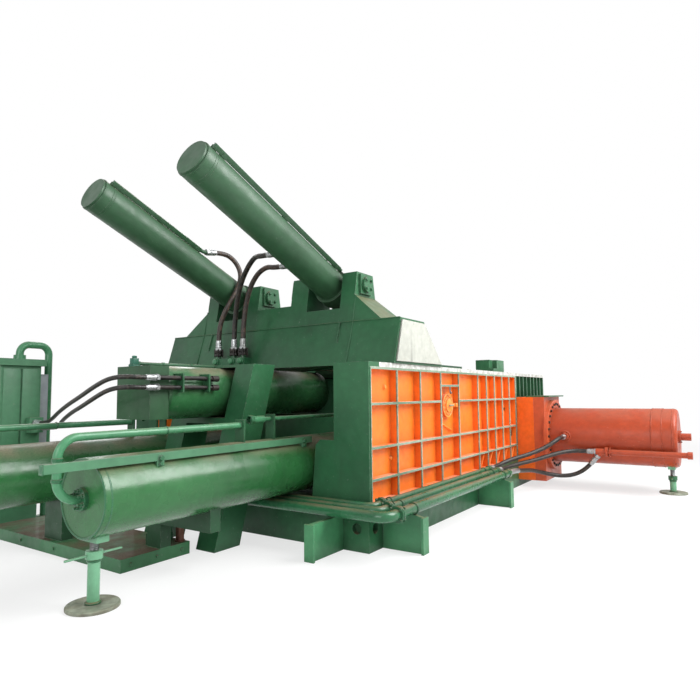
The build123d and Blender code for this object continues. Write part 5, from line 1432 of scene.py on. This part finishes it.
@dataclass
class HighCylinderDressing:
    """The small valve and its pipe on top of the high cylinder."""

    x: float = -1.36
    y: float = 0.06
    top: float = 1.8645
    length: float = 1.07

    def build(self) -> None:
        """Builds the valve and the pipe with its nuts."""
        valve, pipe = Workbench(), Workbench()
        x, y, z = self.x, self.y, self.top
        for half, low, high, bevel in ((0.04, 0, 0.018, 0.002), (0.032, 0.018, 0.085, 0.005)):
            valve.slab((x - half, y - half, z + low), (x + half, y + half, z + high), bevel)
        valve.lathe([(0, 0.02), (0.006, 0.024), (0.022, 0.024), (0.026, 0.018), (0.03, 0)], (x, y, z + 0.084), UP, 20)
        for spot in circle((x, y, z + 0.018), UP, 0.046, 4, 45):
            valve.bolt(spot, UP, 0.006, 0.006)
        valve.done("high_valve", Coat.TEAL)
        z += 0.032
        pipe.lathe([(0.03, 0.018), (self.length, 0.018)], (x, y, z), AHEAD, 20)
        for along in (0.032, 0.33, 0.7):
            pipe.collar((along, along + 0.033), (0.018, 0.026), 0.003, (x, y, z), AHEAD, 6, hollow=False)
        pipe.done("high_pipe", Coat.GREEN, 40.0)


@dataclass
class PlatformDressing:
    """The round valve, the post and the bolts that stand on the low platform."""

    top: float = 0.12
    near: float = -0.36
    left: float = -1.75
    right: float = -0.98
    dial: Point = (-1.07, -0.125, 0.235)
    dial_way: Point = (-0.72, -0.69, 0)
    post: Pair = (-1.03, -0.27)
    bolt_z: float = 0.06
    bolt_y: Row = (0.1, 0.75, 1.4, 1.95)

    def build(self) -> None:
        """Builds the valve, the post and the bolts."""
        valve, post, bolts = Workbench(), Workbench(), Workbench()
        valve.slab((-1.075, -0.15, self.top), (-1.015, -0.07, self.top + 0.075), 0.006)
        valve.lathe([(0, 0.05), (0.004, 0.056), (0.016, 0.056), (0.02, 0.05), (0.021, 0.03), (0.034, 0.028),
                     (0.036, 0)], self.dial, self.dial_way, 28)
        valve.lathe([(-0.03, 0.026), (0.002, 0.026)], self.dial, self.dial_way, 20)
        valve.done("platform_valve", Coat.MINT)
        post.lathe([(0, 0.05), (0.012, 0.05), (0.014, 0.041), (0.14, 0.041), (0.146, 0.046), (0.16, 0.046),
                    (0.163, 0.038)], (*self.post, self.top - 0.001), UP, 28)
        post.done("platform_post", Coat.RUST)
        for x in (self.left + 0.1, (self.left + self.right) / 2, self.right - 0.1):
            bolts.bolt((x, self.near + 0.001, self.bolt_z), NEARWARD, 0.016, 0.012)
        for y in self.bolt_y:
            bolts.bolt((self.left + 0.001, y, self.bolt_z), BACK, 0.016, 0.012)
        bolts.done("platform_bolts", Coat.DUSTY)


@dataclass
class StandDressing:
    """Screw threads, foot plates and collars of the two screw stands."""

    places: Rows = ((-2.325, -0.881, 0.415, 0.5), (5.2, -4.12, 0.265, 0.39))
    pitch: float = 0.012

    def build(self) -> None:
        """Builds the threads, the feet's wear rings and the collars."""
        threads, feet, collars = Workbench(), Workbench(), Workbench()
        for x, y, low, high in self.places:
            profile = [(0, 0.03)]
            for i in range(int((high - low) / self.pitch)):
                z = i * self.pitch
                profile += [(z + 0.002, 0.0305), (z + 0.006, 0.0345), (z + 0.01, 0.0305)]
            threads.lathe(profile, (x, y, low), UP, 24)
            feet.lathe([(0, 0.1915), (0.003, 0.194), (0.02, 0.194), (0.027, 0.188), (0.0275, 0.052), (0.0262, 0.05)],
                       (x, y, 0), UP, 48)
            collars.lathe([(0, 0.052), (0.004, 0.058), (0.012, 0.058), (0.02, 0.047)], (x, y, 0.027), UP, 32)
            collars.collar((0, 0.022), (0.0455, 0.051), 0.004, (x, y, low - 0.085), UP, 32, hollow=False)
        threads.done("stand_screw_threads", Coat.STEEL, 50.0)
        feet.done("stand_foot_plates", Coat.FOOT, 40.0)
        collars.done("stand_collars", Coat.PIPE, 40.0)


@dataclass
class LidCylinderDressing:
    """The clips' bolts, weld rings, pipe nuts and the angle strip over the pipe of each lid cylinder."""

    origin: Pair = (0.89, 2.895)
    side_y: float = 0.813
    tilt: float = 21.76
    radius: float = 0.198
    tail: float = 2.45
    pipe: Pair = (-0.14, 0.1824)
    near_end: float = -0.12
    far_end: float = -0.98
    bands: Rows = (
        (-2.345, 0.008, -0.001, 0.0015, 0.002), (-2.315, 0.008, -0.001, 0.0015, 0.002),
        (-0.08, 0.016, 0.029, 0.034, 0.004), (0.222, 0.03, -0.01, 0.006, 0.004))
    strip: Rows = (
        (0.028, -0.03), (0.033, -0.03), (0.033, 0.027), (-0.026, 0.027), (-0.026, 0.022), (0.028, 0.022))

    def place(self, side: int, along: float, across: float, up: float) -> Point:
        """Puts a place on a lid cylinder into the baler's frame.

        Args:
            side: -1 for the near cylinder and 1 for the far one.
            along: The distance along the cylinder towards the rod.
            across: The distance across it, along Y.
            up: The height over its axis, square to it.

        Returns:
            The point.
        """
        x, y, z = self.way(along, across, up)
        return (self.origin[0] + x, side * self.side_y + y, self.origin[1] + z)

    def way(self, along: float, across: float, up: float) -> Point:
        """Turns a direction on a lid cylinder into the baler's frame."""
        a = math.radians(self.tilt)
        return (along * math.cos(a) + up * math.sin(a), across, up * math.cos(a) - along * math.sin(a))

    def rings(self, side: int, name: str) -> None:
        """Builds the weld rings of one lid cylinder.

        Args:
            side: -1 for the near cylinder and 1 for the far one.
            name: The start of the piece's name.
        """
        bench, r, axis = Workbench(), self.radius, self.way(1, 0, 0)
        bench.lathe([(0, r - 0.01), (0.003, r + 0.001), (0.01, r + 0.003), (0.018, r + 0.001), (0.02, r - 0.01)],
                    self.place(side, 0.001 - self.tail, 0, 0), axis, 56, hollow=True)
        for along, length, low, high, slope in self.bands:
            bench.collar((0, length), (r + low, r + high), slope, self.place(side, along, 0, 0), axis, 56)
        bench.done(name + "_lid_barrel_rings", Coat.LIFT, 40.0, name + "_lid_barrel")

    def cover(self, side: int, name: str, start: float, end: float) -> None:
        """Bends an angle strip that shields the oil pipe of a lid cylinder.

        Args:
            side: -1 for the near cylinder and 1 for the far one.
            name: The start of the piece's name.
            start: Where the strip starts along the cylinder.
            end: Where it ends.
        """
        reach = math.hypot(*self.pipe)
        y, z = self.pipe[0] / reach, self.pipe[1] / reach
        outline = [self.place(side, start, y * (reach + above) - z * aside, z * (reach + above) + y * aside)
                   for aside, above in self.strip]
        bench = Workbench()
        bench.prism(outline, self.way(end - start, 0, 0), 0.0015)
        bench.done(name + "_lid_pipe_cover", Coat.LIFT, 30.0, name + "_lid_barrel")

    def build(self) -> None:
        """Builds the details of both cylinders."""
        y, z = self.pipe
        share = (self.radius + 0.0415) / math.hypot(y, z)
        start = 0.09 - self.tail
        for side, name, end in ((-1, "near", self.near_end), (1, "far", self.far_end)):
            self.rings(side, name)
            bolts = Workbench()
            for along in (start + 0.12, (start + end) / 2, end - 0.12):
                for step in (-0.018, 0.018):
                    bolts.bolt(self.place(side, along + step, y * share, z * share), self.way(0, y, z), 0.01, 0.01)
            self.cover(side, name, start - 0.02, end - 0.05)
            axis = self.way(1, 0, 0)
            bolts.lathe([(0, 0.02), (0.004, 0.03), (0.03, 0.03), (0.034, 0.026)],
                        self.place(side, start - 0.02, y, z), axis, 6, 0.3)
            bolts.collar((0, 0.04), (0.027, 0.031), 0.004, self.place(side, end - 0.3, y, z), axis, 6, 0.3, False)
            bolts.done(name + "_lid_pipe_bolts", Coat.PIPE, 30.0, name + "_lid_barrel")


@dataclass
class Studio:
    """The camera, the lamps, the floor and the backdrop."""

    spot: Point = (-4.82, -4.9, 1.568)
    yaw: float = 33.98
    pitch: float = 4.504
    roll: float = -0.522
    lens: float = 28.77
    sensor: float = 36.0
    far_clip: float = 200.0
    daylight: float = 0.42
    paper: tuple[Point, Point] = ((-40, -40, -0.05), (45, 45, -0.0005))
    fade: Pair = (8.0, 19.0)
    lamps: tuple[tuple[str, Point, Point, float, float], ...] = (
        ("key", (3.5, -8.0, 7.5), (0.5, -1.0, 1.0), 6.5, 1450), ("fill", (-10.0, -3.0, 5.0), (0.0, 0.0, 1.0), 6.0, 430),
        ("back", (6.0, 9.0, 9.0), (1.0, 0.0, 1.0), 6.0, 450))

    def camera(self) -> None:
        """Places the camera as the photograph was taken."""
        yaw, pitch, roll = (math.radians(a) for a in (self.yaw, self.pitch, self.roll))
        ahead = Vector((math.cos(yaw) * math.cos(pitch), math.sin(yaw) * math.cos(pitch), math.sin(pitch)))
        right = Vector((math.sin(yaw), -math.cos(yaw), 0.0))
        down = ahead.cross(right)
        level_right = right * math.cos(roll) - down * math.sin(roll)
        level_down = right * math.sin(roll) + down * math.cos(roll)
        data = bpy.data.cameras.new("camera")
        data.lens = self.lens
        data.sensor_width = self.sensor
        data.clip_end = self.far_clip
        camera = link("camera", data)
        axes = Matrix((level_right, -level_down, -ahead)).transposed().to_4x4()
        camera.matrix_world = Matrix.Translation(self.spot) @ axes
        bpy.context.scene.camera = camera

    def lamp(self, name: str, spot: Point, aim: Point, size: float, power: float) -> None:
        """Adds a soft square lamp.

        Args:
            name: Its name.
            spot: Where it hangs.
            aim: What it points at.
            size: The length of its side.
            power: Its power in watts.
        """
        data = bpy.data.lights.new(name, "AREA")
        data.size = size
        data.energy = power
        lamp = link(name, data)
        lamp.location = spot
        lamp.rotation_euler = (Vector(aim) - Vector(spot)).to_track_quat("-Z", "Y").to_euler()

    def white_seen(self, board: Board) -> Socket:
        """Finds where the camera looks, and where metal or glass mirrors the background.

        Args:
            board: The board that it is wired on.

        Returns:
            A value of 1 there, and 0 for the light that reaches the baler.
        """
        path = board.add("LightPath")
        mirrored = board.sum("MAXIMUM", path.outputs["Is Glossy Ray"], path.outputs["Is Transmission Ray"])
        return board.sum("MAXIMUM", path.outputs["Is Camera Ray"], mirrored)

    def world(self) -> None:
        """Lights the scene evenly, and shows white behind it."""
        world = bpy.data.worlds.new("studio")
        world.use_nodes = True
        board = Board(world.node_tree)
        plain = world.node_tree.nodes["Background"]
        board.fill(plain, {"Color": WHITE, "Strength": self.daylight})
        white = board.add("Background", {"Color": WHITE, "Strength": 1.0})
        chosen = board.choose(self.white_seen(board), plain, white)
        board.feed(world.node_tree.nodes["World Output"].inputs[0], chosen)
        bpy.context.scene.world = world

    def floor(self) -> None:
        """Lays a pale floor that keeps the baler's shadow."""
        bench = Workbench()
        bench.slab(*self.paper, 0.0)
        data = bpy.data.meshes.new("studio_floor")
        bench.mesh.to_mesh(data)
        bench.mesh.free()
        paper = bpy.data.materials.new("pale floor")
        paper.use_nodes = True
        board = Board(paper.node_tree)
        shader = paper.node_tree.nodes["Principled BSDF"]
        place = board.add("TexCoord").outputs["Object"]
        tone = board.spread(board.noise(place, 0.6, 3.0), 0.3, 0.7, 0.9, 0.93)
        board.fill(shader, {"Base Color": tone, "Roughness": 0.9, "Specular IOR Level": 0.1})
        away = board.add("VectorMath", {0: place}, operation="LENGTH")
        fade = board.spread(away.outputs["Value"], *self.fade, 0.7, 1.0)
        share = board.sum("MULTIPLY", self.white_seen(board), fade)
        chosen = board.choose(share, shader, board.add("Emission", {"Color": WHITE}))
        board.feed(paper.node_tree.nodes["Material Output"].inputs[0], chosen)
        data.materials.append(paper)
        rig.stage(link("studio_floor", data))

    def build(self) -> None:
        """Sets up the whole studio."""
        bpy.context.scene.view_settings.view_transform = "Standard"
        self.camera()
        self.world()
        self.floor()
        for lamp in self.lamps:
            self.lamp(*lamp)
        LOG.info("studio: camera, three lamps, world and floor")


def dress_nodes() -> None:
    """Gives every CAD node that is shown its finish."""
    for coat, names in NODE_COATS.items():
        for name in names:
            node = frame["nodes"][name]
            node.data.materials.clear()
            node.data.materials.append(coat.material())
    LOG.info("finishes: %d on the solids", sum(len(names) for names in NODE_COATS.values()))


def main() -> None:
    """Builds the pieces in order and writes the two boxes."""
    logging.basicConfig(level=logging.INFO, format="%(name)s %(message)s")
    EFFECTS.update(paint=WornPaintAndShade(), metal=RawMetal(), sheath=Sheath())
    Studio().build()
    for hose in HOSES:
        hose.build()
    dress_nodes()
    Fittings().build()
    for dressing in (GantryDressing, ManifoldDressing, WallDressing, CylinderDressing, BaseDressing, SideDressing,
                     TankDressing, HighCylinderDressing, PlatformDressing, StandDressing, LidCylinderDressing):
        dressing().build()
    SideDressing().bright_start(HOSES[5])
    boxes = {"cad": [list(corner) for corner in CAD_BOX], "visual": [list(corner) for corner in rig.bounds()]}
    with open("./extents.json", "w") as handle:
        json.dump(boxes, handle)


if __name__ == "__main__":
    main()
